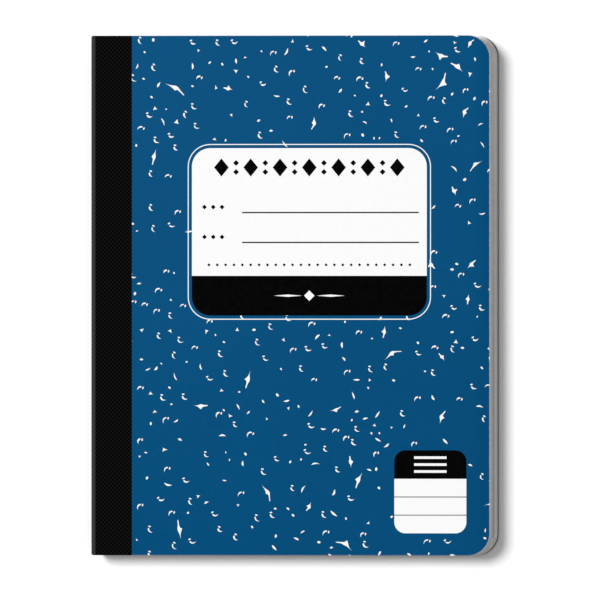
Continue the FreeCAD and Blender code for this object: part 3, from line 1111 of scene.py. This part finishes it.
    def wedge(self) -> tuple[list[Outline], float]:
        """A splinter with three points and hollow sides.

        Returns:
            Its outlines, and how far it reaches.
        """
        size = self.between(self.wedge_size)
        corners = []
        for turn in self.wedge_turns:
            angle = math.radians(turn + self.about(self.wedge_drift))
            corners.append(self.polar(size * self.between(self.wedge_share), angle))
        points: Outline = []
        for here, there in zip(corners, corners[1:] + corners[:1]):
            middle = [(a + b) * self.wedge_hollow for a, b in zip(here, there)]
            points += [here, here, (middle[0], middle[1])]
        return [points], size

    def splash(self) -> tuple[list[Outline], float]:
        """A larger blot that bends, with a blunt head, one arm and a drawn-out tail.

        Returns:
            Its outlines, and how far it reaches.
        """
        half = self.between(self.splash_half)
        body = self.between(self.splash_body)
        bow = self.about(self.splash_bow) * half
        spur = self.between(self.splash_spur) * body
        return [self.spread(self.splash_points, half, body, bow, spur)], half

    def any_kind(self) -> tuple[list[Outline], float, float]:
        """Draws the kind of the next fleck, then the fleck itself and its turn.

        Returns:
            Its outlines, how far it reaches in millimetres, and its turn.
        """
        draw = self.rng.random()
        make = next(kind for limit, kind in self.kinds if draw <= limit)
        shapes, reach = make()
        angle = self.between((0, 2 * math.pi))
        if make == self.comma:
            angle = self.favoured_turn(angle)
        return shapes, reach, angle

    @classmethod
    def favoured_turn(cls, angle: float) -> float:
        """Brings any turn near to one of a hooked stroke's few.

        Args:
            angle: Any turn from 0 to a whole one.

        Returns:
            The turn, in radians.
        """
        share = len(cls.comma_turns) * angle / (2 * math.pi)
        drift = cls.comma_turn_drift * (2 * (share % 1) - 1)
        return math.radians(cls.comma_turns[int(share)] + drift)


@dataclass
class Marbling:
    """White flecks over one cover: an even scatter, and more that the edges cut."""

    book: BookSizes
    keep_clear: list[Area]
    seed: int = 11
    count: int = 350
    tries: int = 9000
    spacing: float = 0.3
    margin: float = 0.6
    rim_count: int = 46
    rim_tries: int = 900
    rim_depth: float = 1.6
    rim_corner: float = 3.0
    rim_end: float = 9.0
    height: float = 0.035 * MM
    sunk: float = 0.012 * MM
    tape_gap: float = 0.05 * MM
    placed: list[tuple[float, float, float]] = field(default_factory=list)

    @property
    def extent(self) -> tuple[float, float, float]:
        """X of the cover's two sides and half its height, in millimetres."""
        return self.book.spine_x / MM, self.book.fore_x / MM, self.book.half_height / MM

    def clear_of_others(self, x: float, y: float, reach: float) -> bool:
        """Tells whether a fleck keeps its distance from those already placed.

        Args:
            x: X of its middle, in millimetres.
            y: Y of its middle.
            reach: How far it reaches from there.

        Returns:
            Whether none is too near.
        """
        for other_x, other_y, other_reach in self.placed:
            if math.hypot(x - other_x, y - other_y) < reach + other_reach + self.spacing:
                return False
        return True

    def fits(self, x: float, y: float, reach: float) -> bool:
        """Tells whether a fleck lies whole on bare cover, in millimetres.

        Args:
            x: X of its middle, in millimetres.
            y: Y of its middle.
            reach: How far it reaches from there.

        Returns:
            Whether it has room there.
        """
        reach += self.margin
        spine, fore, half = self.extent
        corner = self.book.corner / MM
        if not (spine + self.book.flap / MM + reach < x < fore - reach and abs(y) < half - reach):
            return False
        past_x = x - (fore - corner)
        past_y = abs(y) - (half - corner)
        if past_x > 0 and past_y > 0 and math.hypot(past_x, past_y) > corner - reach:
            return False
        if any(area.near(x, y, reach) for area in self.keep_clear):
            return False
        return self.clear_of_others(x, y, reach)

    @staticmethod
    def turned(outline: Outline, x: float, y: float, angle: float) -> Outline:
        """Turns an outline and moves it to its place."""
        cos, sin = math.cos(angle), math.sin(angle)
        return [(x + u * cos - v * sin, y + u * sin + v * cos) for u, v in outline]

    def laid(
        self, shapes: list[Outline], x: float, y: float, reach: float, angle: float
    ) -> list[Outline]:
        """Notes where one fleck lies and returns its outlines there."""
        self.placed.append((x, y, reach))
        return [self.turned(shape, x, y, angle) for shape in shapes]

    def scattered(self) -> list[Outline]:
        """Places the even scatter, as the solids have it.

        Returns:
            Control points of every outline, in millimetres.
        """
        maker = FleckMaker(self.seed)
        spine, fore, half = self.extent
        outlines: list[Outline] = []
        for _ in range(self.tries):
            if len(self.placed) == self.count:
                break
            x = maker.rng.uniform(spine, fore)
            y = maker.rng.uniform(-half, half)
            shapes, reach, angle = maker.any_kind()
            if self.fits(x, y, reach):
                outlines += self.laid(shapes, x, y, reach, angle)
        return outlines

    def rim_lines(self) -> list[tuple[Point, Point]]:
        """Lines that cut flecks: the tape, three edges and the sides of the first kept area.

        Returns:
            Both ends of each line, in millimetres.
        """
        book = self.book
        left = (book.spine_x + book.flap) / MM
        _, fore, half = self.extent
        corner = book.corner / MM + self.rim_corner
        end = self.rim_end
        lines = [
            ((left, -half), (left, half)),
            ((fore, corner - half), (fore, half - corner)),
            ((left, half), (fore - corner, half)),
            ((left, -half), (fore - corner, -half)),
        ]
        for area in self.keep_clear[:1]:
            lines += [
                ((area.left, area.bottom + end), (area.left, area.top - end)),
                ((area.right, area.bottom + end), (area.right, area.top - end)),
                ((area.left + end, area.top), (area.right - end, area.top)),
                ((area.left + end, area.bottom), (area.right - end, area.bottom)),
            ]
        return lines

    def rim(self) -> list[Outline]:
        """Places flecks that lie across the rim lines.

        Returns:
            Control points of every outline, in millimetres.
        """
        maker = FleckMaker(self.seed + 1)
        lines = self.rim_lines()
        outlines: list[Outline] = []
        wanted = len(self.placed) + self.rim_count
        for _ in range(self.rim_tries):
            if len(self.placed) == wanted:
                break
            start, end = maker.rng.choices(lines, [math.dist(*ends) for ends in lines])[0]
            along = maker.rng.random()
            aside = maker.rng.uniform(-self.rim_depth, self.rim_depth)
            upright = start[0] == end[0]
            x = start[0] + (end[0] - start[0]) * along + (aside if upright else 0)
            y = start[1] + (end[1] - start[1]) * along + (0 if upright else aside)
            shapes, reach, angle = maker.any_kind()
            if any(area.near(x, y, -self.rim_depth) for area in self.keep_clear):
                continue
            if self.clear_of_others(x, y, reach):
                outlines += self.laid(shapes, x, y, reach, angle)
        return outlines

    def build(self, name: str) -> bpy.types.Object:
        """Models all flecks as one thin print on the face of the front cover.

        Args:
            name: Name of the piece.

        Returns:
            The piece, on the front cover's face.
        """
        book = self.book
        middle = book.thickness + self.height / 2 - self.sunk
        splines = []
        for outline in self.scattered() + self.rim():
            splines.append([Vector((x * MM, y * MM, 0)) for x, y in outline])
        piece = curve_to_mesh(
            name, splines, "NURBS", True,
            dimensions="2D", fill_mode="BOTH", extrude=self.height / 2,
        )
        left = book.spine_x + book.flap + self.tape_gap
        with editing(piece):
            bpy.ops.mesh.remove_doubles(threshold=TOUCHING)
            bpy.ops.transform.translate(value=(0, 0, middle))
            for x, y, out_x, out_y in (
                (left, 0, -1, 0), (book.fore_x, 0, 1, 0),
                (0, book.half_height, 0, 1), (0, -book.half_height, 0, -1),
            ):
                cut_away(Vector((x, y, 0)), Vector((out_x, out_y, 0)))
        return piece


def turn_to_back(piece: bpy.types.Object, book: BookSizes) -> None:
    """Turns a piece of the front cover over, on to the back cover.

    Args:
        piece: The piece, with its place in its mesh.
        book: Sizes of the notebook.
    """
    with editing(piece):
        bpy.ops.transform.resize(value=(1, 1, -1), center_override=(0, 0, book.thickness / 2))
        bpy.ops.transform.translate(value=(book.lean, 0, 0))
    face_outwards(piece)


# Covers

@dataclass
class CoverBoard:
    """One cover: a board with a step for the tape and a rounded edge at its hinge."""

    book: BookSizes
    tape_gap: float = 0.05 * MM
    corner_steps: int = 18
    hinge_round: float = 0.3 * MM
    cut_round: float = 0.05 * MM
    step_run: float = 0.02 * MM
    sharp: float = 40.0

    def build(self, name: str, face_inset: float) -> bpy.types.Object:
        """Models the board in the place of the front cover.

        Args:
            name: Name of the piece.
            face_inset: How far its printed face stays below the full thickness.

        Returns:
            The piece.
        """
        book = self.book
        top = book.thickness - face_inset
        under = book.thickness - book.board
        left = book.bend_x
        deselect_all()
        bpy.ops.mesh.primitive_cube_add(
            size=1,
            location=((left + book.fore_x) / 2, 0, (top + under) / 2),
            scale=(book.fore_x - left, book.cover_height, top - under),
        )
        piece = bpy.context.object
        piece.name = name
        bpy.ops.object.transform_apply(location=True, rotation=True, scale=True)
        with editing(piece):
            pick(piece, Pick.EDGES, lambda edge: lies_along(edge, 2) and centre_of(edge).x > 0)
            bpy.ops.mesh.bevel(offset=book.corner, segments=self.corner_steps, affect="EDGES")
            self.cut_step(piece, top)
            pick(
                piece, Pick.EDGES,
                lambda edge: lies_along(edge, 1) and centre_of(edge).x < left + 0.01 * MM,
            )
            bpy.ops.mesh.bevel(offset=self.hinge_round, segments=4, affect="EDGES")
        apply_modifier(
            piece, "BEVEL", width=self.cut_round, segments=2,
            limit_method="ANGLE", angle_limit=math.radians(self.sharp),
        )
        smooth_by_angle(piece, self.sharp)
        return piece

    def cut_step(self, piece: bpy.types.Object, top: float) -> None:
        """Sinks the face next to the spine, where the tape's flap lies.

        Args:
            piece: The board in edit mode.
            top: Height of its printed face.
        """
        book = self.book
        step_x = book.spine_x + book.flap + self.tape_gap
        for x in (step_x, step_x - self.step_run):
            bpy.ops.mesh.select_all(action="SELECT")
            bpy.ops.mesh.bisect(plane_co=(x, 0, 0), plane_no=(1, 0, 0))
        middle = book.thickness - book.board / 2
        pick(
            piece, Pick.VERTS,
            lambda vert: vert.co.x < step_x - self.step_run / 2 and vert.co.z > middle,
        )
        drop = top - (book.thickness - book.tape)
        bpy.ops.transform.translate(value=(0, 0, -drop))

    def paint(self, piece: bpy.types.Object, finishes: Sequence[Any], outer: float) -> None:
        """Gives the face its print, the rim its cut edge (bare board in front, painted shade at
        the back) and the inside its lining.

        Args:
            piece: The finished board.
            finishes: Materials of the face, the rim and the inside.
            outer: 1 where the printed face looks up, -1 where it looks down.
        """
        dress(piece, finishes)
        with editing(piece):
            for slot, low, high in ((0, 0.5, 2.0), (1, -0.5, 0.5), (2, -2.0, -0.5)):
                pick(piece, Pick.FACES, lambda face: low < face.normal.z * outer <= high)
                piece.active_material_index = slot
                bpy.ops.object.material_slot_assign()


# Tape

@dataclass
class SpineTape:
    """One half of the cloth tape; the halves meet along the middle of the spine."""

    book: BookSizes
    side: Side
    proud: float = 0.03 * MM
    thickness: float = 0.27 * MM
    bend_steps: int = 14
    flank_steps: int = 4
    flap_steps: int = 8
    rows: int = 48
    round_steps: int = 4
    sharp: float = 40.0
    bend_span: ClassVar[dict[Side, Point]] = {
        Side.FRONT: (-0.4 * MM, 0.95 * MM),
        Side.BACK: (-1.5 * MM, -0.55 * MM),
    }

    @property
    def upwards(self) -> int:
        """1 where this half bends over the top of the spine, -1 where under it."""
        return -1 if self.side is Side.BACK else 1

    @property
    def bend_angles(self) -> Point:
        """Angles at which this half's bend begins, at the flap, and ends."""
        return math.pi - self.upwards * math.pi / 2, math.pi + self.book.slant

    @property
    def centre(self) -> Point:
        """The centre that this half bends round.

        Returns:
            Its X and Z.
        """
        book = self.book
        if self.side is Side.BACK:
            return book.bend_x + book.lean, book.bend
        return book.bend_x, book.thickness - book.bend

    @property
    def flap_start(self) -> float:
        """X of the edge of this half's flap."""
        lean = self.book.lean if self.side is Side.BACK else 0.0
        return self.book.spine_x + self.book.flap + lean

    @property
    def radius(self) -> float:
        """Radius of the tape's outside at the bend."""
        return self.book.bend + self.proud

    @property
    def flank_end(self) -> Point:
        """The outside point on the middle of the spine.

        Returns:
            Its X and Z.
        """
        book = self.book
        reach = self.radius / math.cos(book.slant)
        return book.bend_x + book.lean / 2 - reach, book.thickness / 2

    def section(self) -> Outline:
        """Points of this half's outside, from its flap to the mid-line.

        Returns:
            X and Z of each point.
        """
        centre_x, centre_z = self.centre
        level = centre_z + self.upwards * self.radius
        start = self.flap_start
        points = [
            (start + (centre_x - start) * n / self.flap_steps, level)
            for n in range(self.flap_steps)
        ]
        first, last = self.bend_angles
        for n in range(self.bend_steps + 1):
            angle = first + (last - first) * n / self.bend_steps
            out, up = self.radius * math.cos(angle), self.radius * math.sin(angle)
            points.append((centre_x + out, centre_z + up))
        (x, z), (end_x, end_z) = points[-1], self.flank_end
        for n in range(1, self.flank_steps + 1):
            share = n / self.flank_steps
            points.append((x + (end_x - x) * share, z + (end_z - z) * share))
        return points

    def developed(self, x: float, z: float) -> float:
        """Distance along the tape from the edge of this half's flap.

        Args:
            x: X of a point on or in the tape.
            z: Z of that point.

        Returns:
            The distance in metres.
        """
        centre_x, centre_z = self.centre
        if x >= centre_x:
            return self.flap_start - x
        flap_run = self.flap_start - centre_x
        angle = math.atan2(z - centre_z, x - centre_x) % (2 * math.pi)
        first, last = self.bend_angles
        turned = (angle - first) * self.upwards
        whole_turn = (last - first) * self.upwards
        if turned <= whole_turn:
            return flap_run + turned * self.radius
        slant = self.book.slant
        down = (x - centre_x) * math.sin(slant) - (z - centre_z) * math.cos(slant)
        return flap_run + whole_turn * self.radius + self.upwards * down

    @property
    def bend_length(self) -> float:
        """Distance round the front bend."""
        return (math.pi / 2 + self.book.slant) * self.radius

    @property
    def flank_length(self) -> float:
        """Distance from the middle of the spine to the front bend."""
        flap_run = self.flap_start - self.centre[0]
        return self.half_length - flap_run - self.bend_length

    @property
    def half_length(self) -> float:
        """Distance along the tape from its edge to the middle of the spine."""
        return self.developed(*self.flank_end)

    def build(self, name: str) -> bpy.types.Object:
        """Models this half.

        Args:
            name: Name of the piece.

        Returns:
            The piece, with its thickness.
        """
        book = self.book
        points = [Vector((x, -book.half_height, z)) for x, z in self.section()]
        piece = curve_to_mesh(name, [points], "POLY", False, dimensions="3D")
        step = book.cover_height / self.rows
        with editing(piece):
            for _ in range(self.rows):
                bpy.ops.mesh.extrude_region_move(TRANSFORM_OT_translate={"value": (0, step, 0)})
            bpy.ops.mesh.select_all(action="SELECT")
            bpy.ops.mesh.normals_make_consistent(inside=False)
            if self.looks_inwards(piece):
                bpy.ops.mesh.flip_normals()
        apply_modifier(
            piece, "SOLIDIFY", thickness=self.thickness, offset=-1.0, use_even_offset=True
        )
        self.round_ends(piece)
        face_outwards(piece)
        smooth_by_angle(piece, self.sharp)
        return piece

    def looks_inwards(self, piece: bpy.types.Object) -> bool:
        """Tells whether the flap's faces look into the book instead of out.

        Args:
            piece: The mesh object.

        Returns:
            Whether its faces have to be flipped.
        """
        mesh = bmesh.from_edit_mesh(piece.data)
        flap = max(mesh.faces, key=lambda face: face.calc_center_median().x)
        return flap.normal.z * self.upwards < 0

    def round_ends(self, piece: bpy.types.Object) -> None:
        """Rounds the spine's corners at the head and the tail.

        Args:
            piece: The mesh object.
        """
        book = self.book
        radius = book.spine_corner
        end_x, end_z = self.flank_end
        leaning = Vector((-math.cos(book.slant), 0, -math.sin(book.slant)))
        sides = [(Vector((end_x, 0, end_z)), leaning)]
        if self.side is Side.FRONT:
            sides.append((Vector((book.spine_x - self.proud, 0, 0)), Vector((-1, 0, 0))))
        with editing(piece):
            for place, out in sides:
                for side in (1, -1):
                    along = Vector((0, side, 0))
                    centre = place - out * radius + along * (book.half_height - radius)
                    for n in range(self.round_steps):
                        angle = math.pi / 2 * (n + 0.5) / self.round_steps
                        towards = out * math.cos(angle) + along * math.sin(angle)
                        cut_away(centre + towards * radius, towards)

    def map_weave(self, piece: bpy.types.Object) -> None:
        """Lays the piece's own map along the tape from the middle of the spine, in metres.

        Args:
            piece: The finished half.
        """
        mesh = piece.data
        layer = mesh.uv_layers.new(name="tape_length")
        for loop in mesh.loops:
            place = mesh.vertices[loop.vertex_index].co
            run = self.half_length - self.developed(place.x, place.z)
            layer.data[loop.index].uv = (-self.upwards * run, place.y)

    def hang(self, piece: bpy.types.Object) -> None:
        """Bakes the half's place into its mesh; the span of its bend is worked out but not used.

        Args:
            piece: The finished half.
        """
        slant = self.book.slant
        across = Vector((math.cos(slant), 0, math.sin(slant)))
        centre = Vector((self.centre[0], 0, self.centre[1]))
        start, end = self.bend_span[self.side]
        centre + across * start
        centre + across * end
        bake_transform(piece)


# Leaves

@dataclass
class LeafBlock:
    """Fifty folded sheets, nested at the spine, that make a hundred leaves."""

    book: BookSizes
    seed: int = 5
    sheet: float = 0.072 * MM
    first_fold: float = 1.2 * MM
    least_fold: float = 0.4 * MM
    fold_share: float = 0.44
    fold_steps: int = 5
    corner_steps: int = 8
    end_shift: float = 0.05 * MM
    fore_shift: float = 0.06 * MM
    row_reach: float = 0.08 * MM
    fore_reach: float = 5.0 * MM
    sharp: float = 50.0

    @staticmethod
    def filleted(before: Vector, corner: Vector, after: Vector, radius: float, steps: int) -> Any:
        """Points of a rounded corner between two straight runs.

        Args:
            before: The end of the first run.
            corner: Where the runs would meet.
            after: The end of the second run.
            radius: Radius of the rounding.
            steps: How many runs make up the rounding.

        Returns:
            The points from the first run to the second.
        """
        arms = [(before - corner).normalized(), (after - corner).normalized()]
        half = arms[0].angle(arms[1]) / 2
        middle = corner + (arms[0] + arms[1]).normalized() * (radius / math.sin(half))
        ends = [corner + arm * (radius / math.tan(half)) - middle for arm in arms]
        points = []
        for n in range(steps + 1):
            spoke = ends[0].lerp(ends[1], n / steps).normalized()
            points.append(middle + spoke * radius)
        return points

    def sheet_path(self, number: int, rng: random.Random) -> list[Vector]:
        """Section of one folded sheet, from fore edge to fold and back.

        Args:
            number: 0 for the outermost sheet.
            rng: Source of its small shifts.

        Returns:
            Points of the path at the tail of the book.
        """
        book = self.book
        depth = (number + 0.5) * book.leaf
        top = book.thickness - book.board - depth
        bottom = book.board + depth
        height = top - bottom
        block = book.leaf_count * book.leaf
        inset = (book.tape + book.glue + depth - book.bend) / math.cos(book.slant)
        tail = -book.half_height + rng.uniform(-1, 1) * self.end_shift

        def flank(z: float) -> float:
            """X of the sheet's fold line at one height."""
            fall = (book.thickness - book.bend - z) * math.tan(book.slant)
            return book.bend_x + fall + inset

        def fore(z: float) -> float:
            """X of the leaning fore edge at one height.

            Args:
                z: The height.

            Returns:
                The X.
            """
            lean = book.lean * (book.thickness - book.board - z) / block
            shift = book.leaf_inset + rng.uniform(0, 1) * self.fore_shift
            return book.fore_x + lean - shift

        upper = Vector((flank(top), tail, top))
        lower = Vector((flank(bottom), tail, bottom))
        start = Vector((fore(top), tail, top))
        end = Vector((fore(bottom), tail, bottom))
        radius = min(max(self.first_fold - depth, self.least_fold), self.fold_share * height)
        path = [start]
        path += self.filleted(start, upper, lower, radius, self.fold_steps)
        path += self.filleted(upper, lower, end, radius, self.fold_steps)
        path.append(end)
        return path

    def corner_rows(self) -> list[Point]:
        """Distance from head or tail, and inset of the fore edge, of each corner row.

        Returns:
            The rows, from the outermost inwards.
        """
        radius = self.book.corner
        rows = []
        for n in range(self.corner_steps + 1):
            angle = math.pi / 2 * (1 - n / self.corner_steps)
            rows.append((radius * (1 - math.sin(angle)), radius * (1 - math.cos(angle))))
        return rows

    def build(self, name: str) -> bpy.types.Object:
        """Models all sheets.

        Args:
            name: Name of the piece.

        Returns:
            The piece, with slots for leaf faces and cut edges.
        """
        book = self.book
        rng = random.Random(self.seed)
        paths = [self.sheet_path(n, rng) for n in range(book.leaf_count // 2)]
        piece = curve_to_mesh(name, paths, "POLY", False, dimensions="3D")
        rows = self.corner_rows()
        places = [distance for distance, _ in rows]
        insets = [inset for _, inset in rows]
        places += [book.cover_height - distance for distance in reversed(places)]
        insets += list(reversed(insets))
        with editing(piece):
            for here, there in zip(places, places[1:]):
                bpy.ops.mesh.extrude_region_move(
                    TRANSFORM_OT_translate={"value": (0, there - here, 0)}
                )
            self.round_corners(piece, places, insets)
        apply_modifier(
            piece, "SOLIDIFY", thickness=self.sheet, offset=0.0,
            use_even_offset=True, material_offset_rim=1,
        )
        face_outwards(piece)
        smooth_by_angle(piece, self.sharp)
        return piece

    def round_corners(
        self, piece: bpy.types.Object, places: Sequence[float], insets: Sequence[float]
    ) -> None:
        """Draws the fore edge in where it meets the head and the tail.

        Args:
            piece: The sheets in edit mode.
            places: Distance of each row from the tail.
            insets: How far each row is drawn in.
        """
        tail = -self.book.half_height
        fore = self.book.fore_x - self.fore_reach
        for place, inset in zip(places, insets):
            if inset > 0:
                row = tail + place
                pick(
                    piece, Pick.VERTS,
                    lambda vert: abs(vert.co.y - row) < self.row_reach and vert.co.x > fore,
                )
                bpy.ops.transform.translate(value=(-inset, 0, 0))


# Studio

@dataclass
class Studio:
    """White floor, soft light from the upper left and a camera almost overhead."""

    book: BookSizes
    pixels_per_mm: float = 2.098
    image_side: int = 600
    tilt: float = math.radians(4.5)
    lens: float = 1000.0
    sensor: float = 36.0
    aim: tuple[float, float] = (2.51 * MM, -2.156 * MM)
    lamp_place: tuple[float, float, float] = (-8.35, 3.80, 10.0)
    lamp_size: float = 5.9
    lamp_power: float = 1800.0
    ambient: float = 0.31
    floor_side: float = 30.0
    floor_lit: Colour = (0.8, 0.8, 0.8)
    floor_seen: Colour = (1.07, 1.07, 1.07)
    far: float = 40.0

    def build(self) -> None:
        """Sets up the floor, the light and the camera."""
        bpy.context.scene.view_settings.view_transform = "Standard"
        self.add_floor()
        self.add_world()
        self.add_lamp()
        self.add_camera()

    def add_floor(self) -> None:
        """Lays the floor; straight views see it whiter than it lights the book."""
        deselect_all()
        bpy.ops.mesh.primitive_plane_add(size=self.floor_side, location=(0, 0, -0.05 * MM))
        floor = bpy.context.object
        floor.name = "studio_floor"
        material = bpy.data.materials.new("studio_floor")
        self.draw_two_ways(
            material, "ShaderNodeBsdfDiffuse", "ShaderNodeOutputMaterial",
            {"Color": self.floor_lit}, {"Color": self.floor_seen},
        )
        dress(floor, [material])

    def add_world(self) -> None:
        """Makes the surroundings: white to look at, soft as a light."""
        world = bpy.data.worlds.new("studio")
        bpy.context.scene.world = world
        white = (1.0, 1.0, 1.0)
        self.draw_two_ways(
            world, "ShaderNodeBackground", "ShaderNodeOutputWorld",
            {"Color": white, "Strength": self.ambient}, {"Color": white, "Strength": 1.0},
        )

    @staticmethod
    def draw_two_ways(
        owner: Any, kind: str, output: str, lit: dict[str, Any], seen: dict[str, Any]
    ) -> None:
        """Draws a shader that straight and mirrored views see apart from what it lights.

        Args:
            owner: The material or world that it belongs to.
            kind: Type of both shaders.
            output: Type of the output node.
            lit: Inputs of the shader that lights the book.
            seen: Inputs of the shader that such views see.
        """
        owner.use_nodes = True
        owner.node_tree.nodes.clear()
        canvas = Canvas(owner.node_tree)
        path = canvas.values("ShaderNodeLightPath")
        mirrored = path["Is Glossy Ray"].reckon("MAXIMUM", path["Is Transmission Ray"])
        straight = path["Is Camera Ray"].reckon("MAXIMUM", mirrored)
        inputs = {0: straight, 1: canvas.value(kind, lit), 2: canvas.value(kind, seen)}
        canvas.add(output, {"Surface": canvas.value("ShaderNodeMixShader", inputs)})

    def add_lamp(self) -> None:
        """Hangs one broad lamp at the upper left."""
        deselect_all()
        bpy.ops.object.light_add(type="AREA", location=self.lamp_place)
        lamp = bpy.context.object
        lamp.name = "studio_lamp"
        lamp.data.shape = "DISK"
        lamp.data.size = self.lamp_size
        lamp.data.energy = self.lamp_power
        towards = -Vector(self.lamp_place)
        lamp.rotation_euler = towards.to_track_quat("-Z", "Y").to_euler()

    def add_camera(self) -> None:
        """Places the camera far overhead, tilted a little to the fore edge."""
        frame_side = self.image_side / self.pixels_per_mm * MM
        distance = frame_side * self.lens / self.sensor
        aim = Vector((self.aim[0], self.aim[1], self.book.thickness / 2))
        back = Vector((math.sin(self.tilt), 0, math.cos(self.tilt)))
        deselect_all()
        bpy.ops.object.camera_add(location=aim + back * distance, rotation=(0, self.tilt, 0))
        camera = bpy.context.object
        camera.name = "studio_camera"
        camera.data.sensor_width = self.sensor
        camera.data.lens = self.lens
        camera.data.clip_end = self.far
        bpy.context.scene.camera = camera


# Notebook

@dataclass
class Notebook:
    """The whole notebook: every piece that the scene adds, and every finish."""

    book: BookSizes
    effects: SurfaceEffects
    label: Area = Area(-50.75, -11.525, 65.45, 72.175)
    badge: Area = Area(47.95, -113.225, 82.35, -73.725)

    def __post_init__(self) -> None:
        """Mixes the inks and papers that several pieces share."""
        effects = self.effects
        self.inks = {
            "white_ink": PrintInk("white_print", (0.965, 0.965, 0.965), (0.95, 0.95, 0.95), 0.05),
            "black_ink": PrintInk("black_print", (0.0, 0.0, 0.0), (0.0010, 0.0010, 0.0010), 0.015),
            "grey_ink": PrintInk("dark_grey_print", (0.016, 0.016, 0.017), (0.024, 0.024, 0.025)),
            "pale_grey_ink": PrintInk("mid_grey_print", (0.20, 0.20, 0.20), (0.25, 0.25, 0.25)),
        }
        self.ink_materials = {slot: ink.material(effects) for slot, ink in self.inks.items()}
        self.cut_board = PlainPaper(
            "cut_board", (0.47, 0.46, 0.46), (0.40, 0.39, 0.40), 6.0
        ).material(effects)
        # painted shade: the back board's cut edge is nearly black, for the gap where the leaves
        # meet it
        self.painted_shade_board_edge = PlainPaper(
            "inked_board_edge", (0.075, 0.075, 0.075), (0.06, 0.06, 0.06), 6.0
        ).material(effects)

    def add_covers(self) -> None:
        """Builds both boards and gives them their finishes."""
        book = self.book
        maker = CoverBoard(book)
        front = maker.build("front_board", 0.0)
        centre = book.spine_x + book.cover_width / 2
        print_front = PrintedBoard().material(self.effects, centre)
        lining = BoardLining()
        inside = lining.material(self.effects, centre)
        maker.paint(front, (print_front, self.cut_board, inside), 1)
        self.settle(front, "front", "front_cover")
        back = maker.build("back_board", book.print_depth)
        turn_to_back(back, book)
        print_back = PrintedBoard().material(self.effects, centre + book.lean)
        inside = lining.material(self.effects, centre + book.lean)
        # painted shade on the back board's rim and the edge of its lining, where the leaves meet
        # it
        maker.paint(back, (print_back, self.painted_shade_board_edge, inside), -1)
        self.settle(back, "back", "back_cover")

    def add_marbling(self) -> None:
        """Prints the flecks on both covers."""
        book = self.book
        white = self.ink_materials["white_ink"]
        front = Marbling(book, [self.label, self.badge]).build("front_flecks")
        face_outwards(front)
        dress(front, [white])
        self.settle(front, "front", "marbling_flecks")
        depth = book.print_depth
        over_back = Marbling(book, [], seed=23, count=470, tries=14000, height=depth, sunk=depth)
        back = over_back.build("back_flecks")
        turn_to_back(back, book)
        dress(back, [white])
        self.settle(back, "back")

    def add_tape(self) -> None:
        """Lays the two halves of the tape round the spine."""
        whole = SpineTape(self.book, Side.FRONT)
        flank = whole.flank_length
        cloth = BookCloth().material(self.effects, flank, flank + whole.bend_length)
        for side in Side:
            maker = SpineTape(self.book, side)
            half = maker.build(f"tape_{side.value}_half")
            maker.map_weave(half)
            dress(half, [cloth])
            maker.hang(half)
            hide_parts("spine_tape")
            log.info("%s: %d faces", half.name, len(half.data.polygons))

    def add_leaves(self) -> None:
        """Puts in the sheets."""
        leaves = LeafBlock(self.book).build("folded_sheets")
        paper = RuledPaper().material(self.effects)
        edges = LeafEdges().material(self.effects)
        dress(leaves, [paper, edges])
        self.settle(leaves, "block", "page_block")

    def settle(
        self, piece: bpy.types.Object, body: str, node: Optional[str] = None
    ) -> None:
        """Hands a finished piece to its body.

        Args:
            piece: The finished piece.
            body: The body that it moves with.
            node: The solid that it stands for.
        """
        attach(piece, body)
        if node:
            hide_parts(node)
        log.info("%s: %d faces on %s", piece.name, len(piece.data.polygons), body)

    def dress_solids(self) -> None:
        """Gives the solids that stay their finishes."""
        cotton = SewingCotton().material(self.effects)
        slots = {
            "label_keyline": "white_ink",
            "label_panel": "white_ink",
            "label_band": "black_ink",
            "writing_lines": "grey_ink",
            "label_ornaments": "black_ink",
            "band_ornament": "white_ink",
            "badge_header": "black_ink",
            "badge_panel": "white_ink",
            "badge_lines": "pale_grey_ink",
            "badge_bars": "white_ink",
        }
        for node, slot in slots.items():
            dress(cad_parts[node], [self.ink_materials[slot]])
        for node in ("outer_thread", "inner_thread"):
            dress(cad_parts[node], [cotton])
        log.info("dressed %d solids", len(slots) + 2)


def corners(box: Sequence[Vector]) -> list[list[float]]:
    """Returns the two corners of a box as plain lists."""
    return [list(corner) for corner in box]


def main() -> None:
    logging.basicConfig(level=logging.INFO, format="%(name)s: %(message)s")
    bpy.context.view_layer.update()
    book = BookSizes()
    notebook = Notebook(book, SurfaceEffects(book))
    notebook.add_covers()
    notebook.add_marbling()
    notebook.add_tape()
    notebook.add_leaves()
    notebook.dress_solids()
    Studio(book).build()


if __name__ == "__main__":
    main()
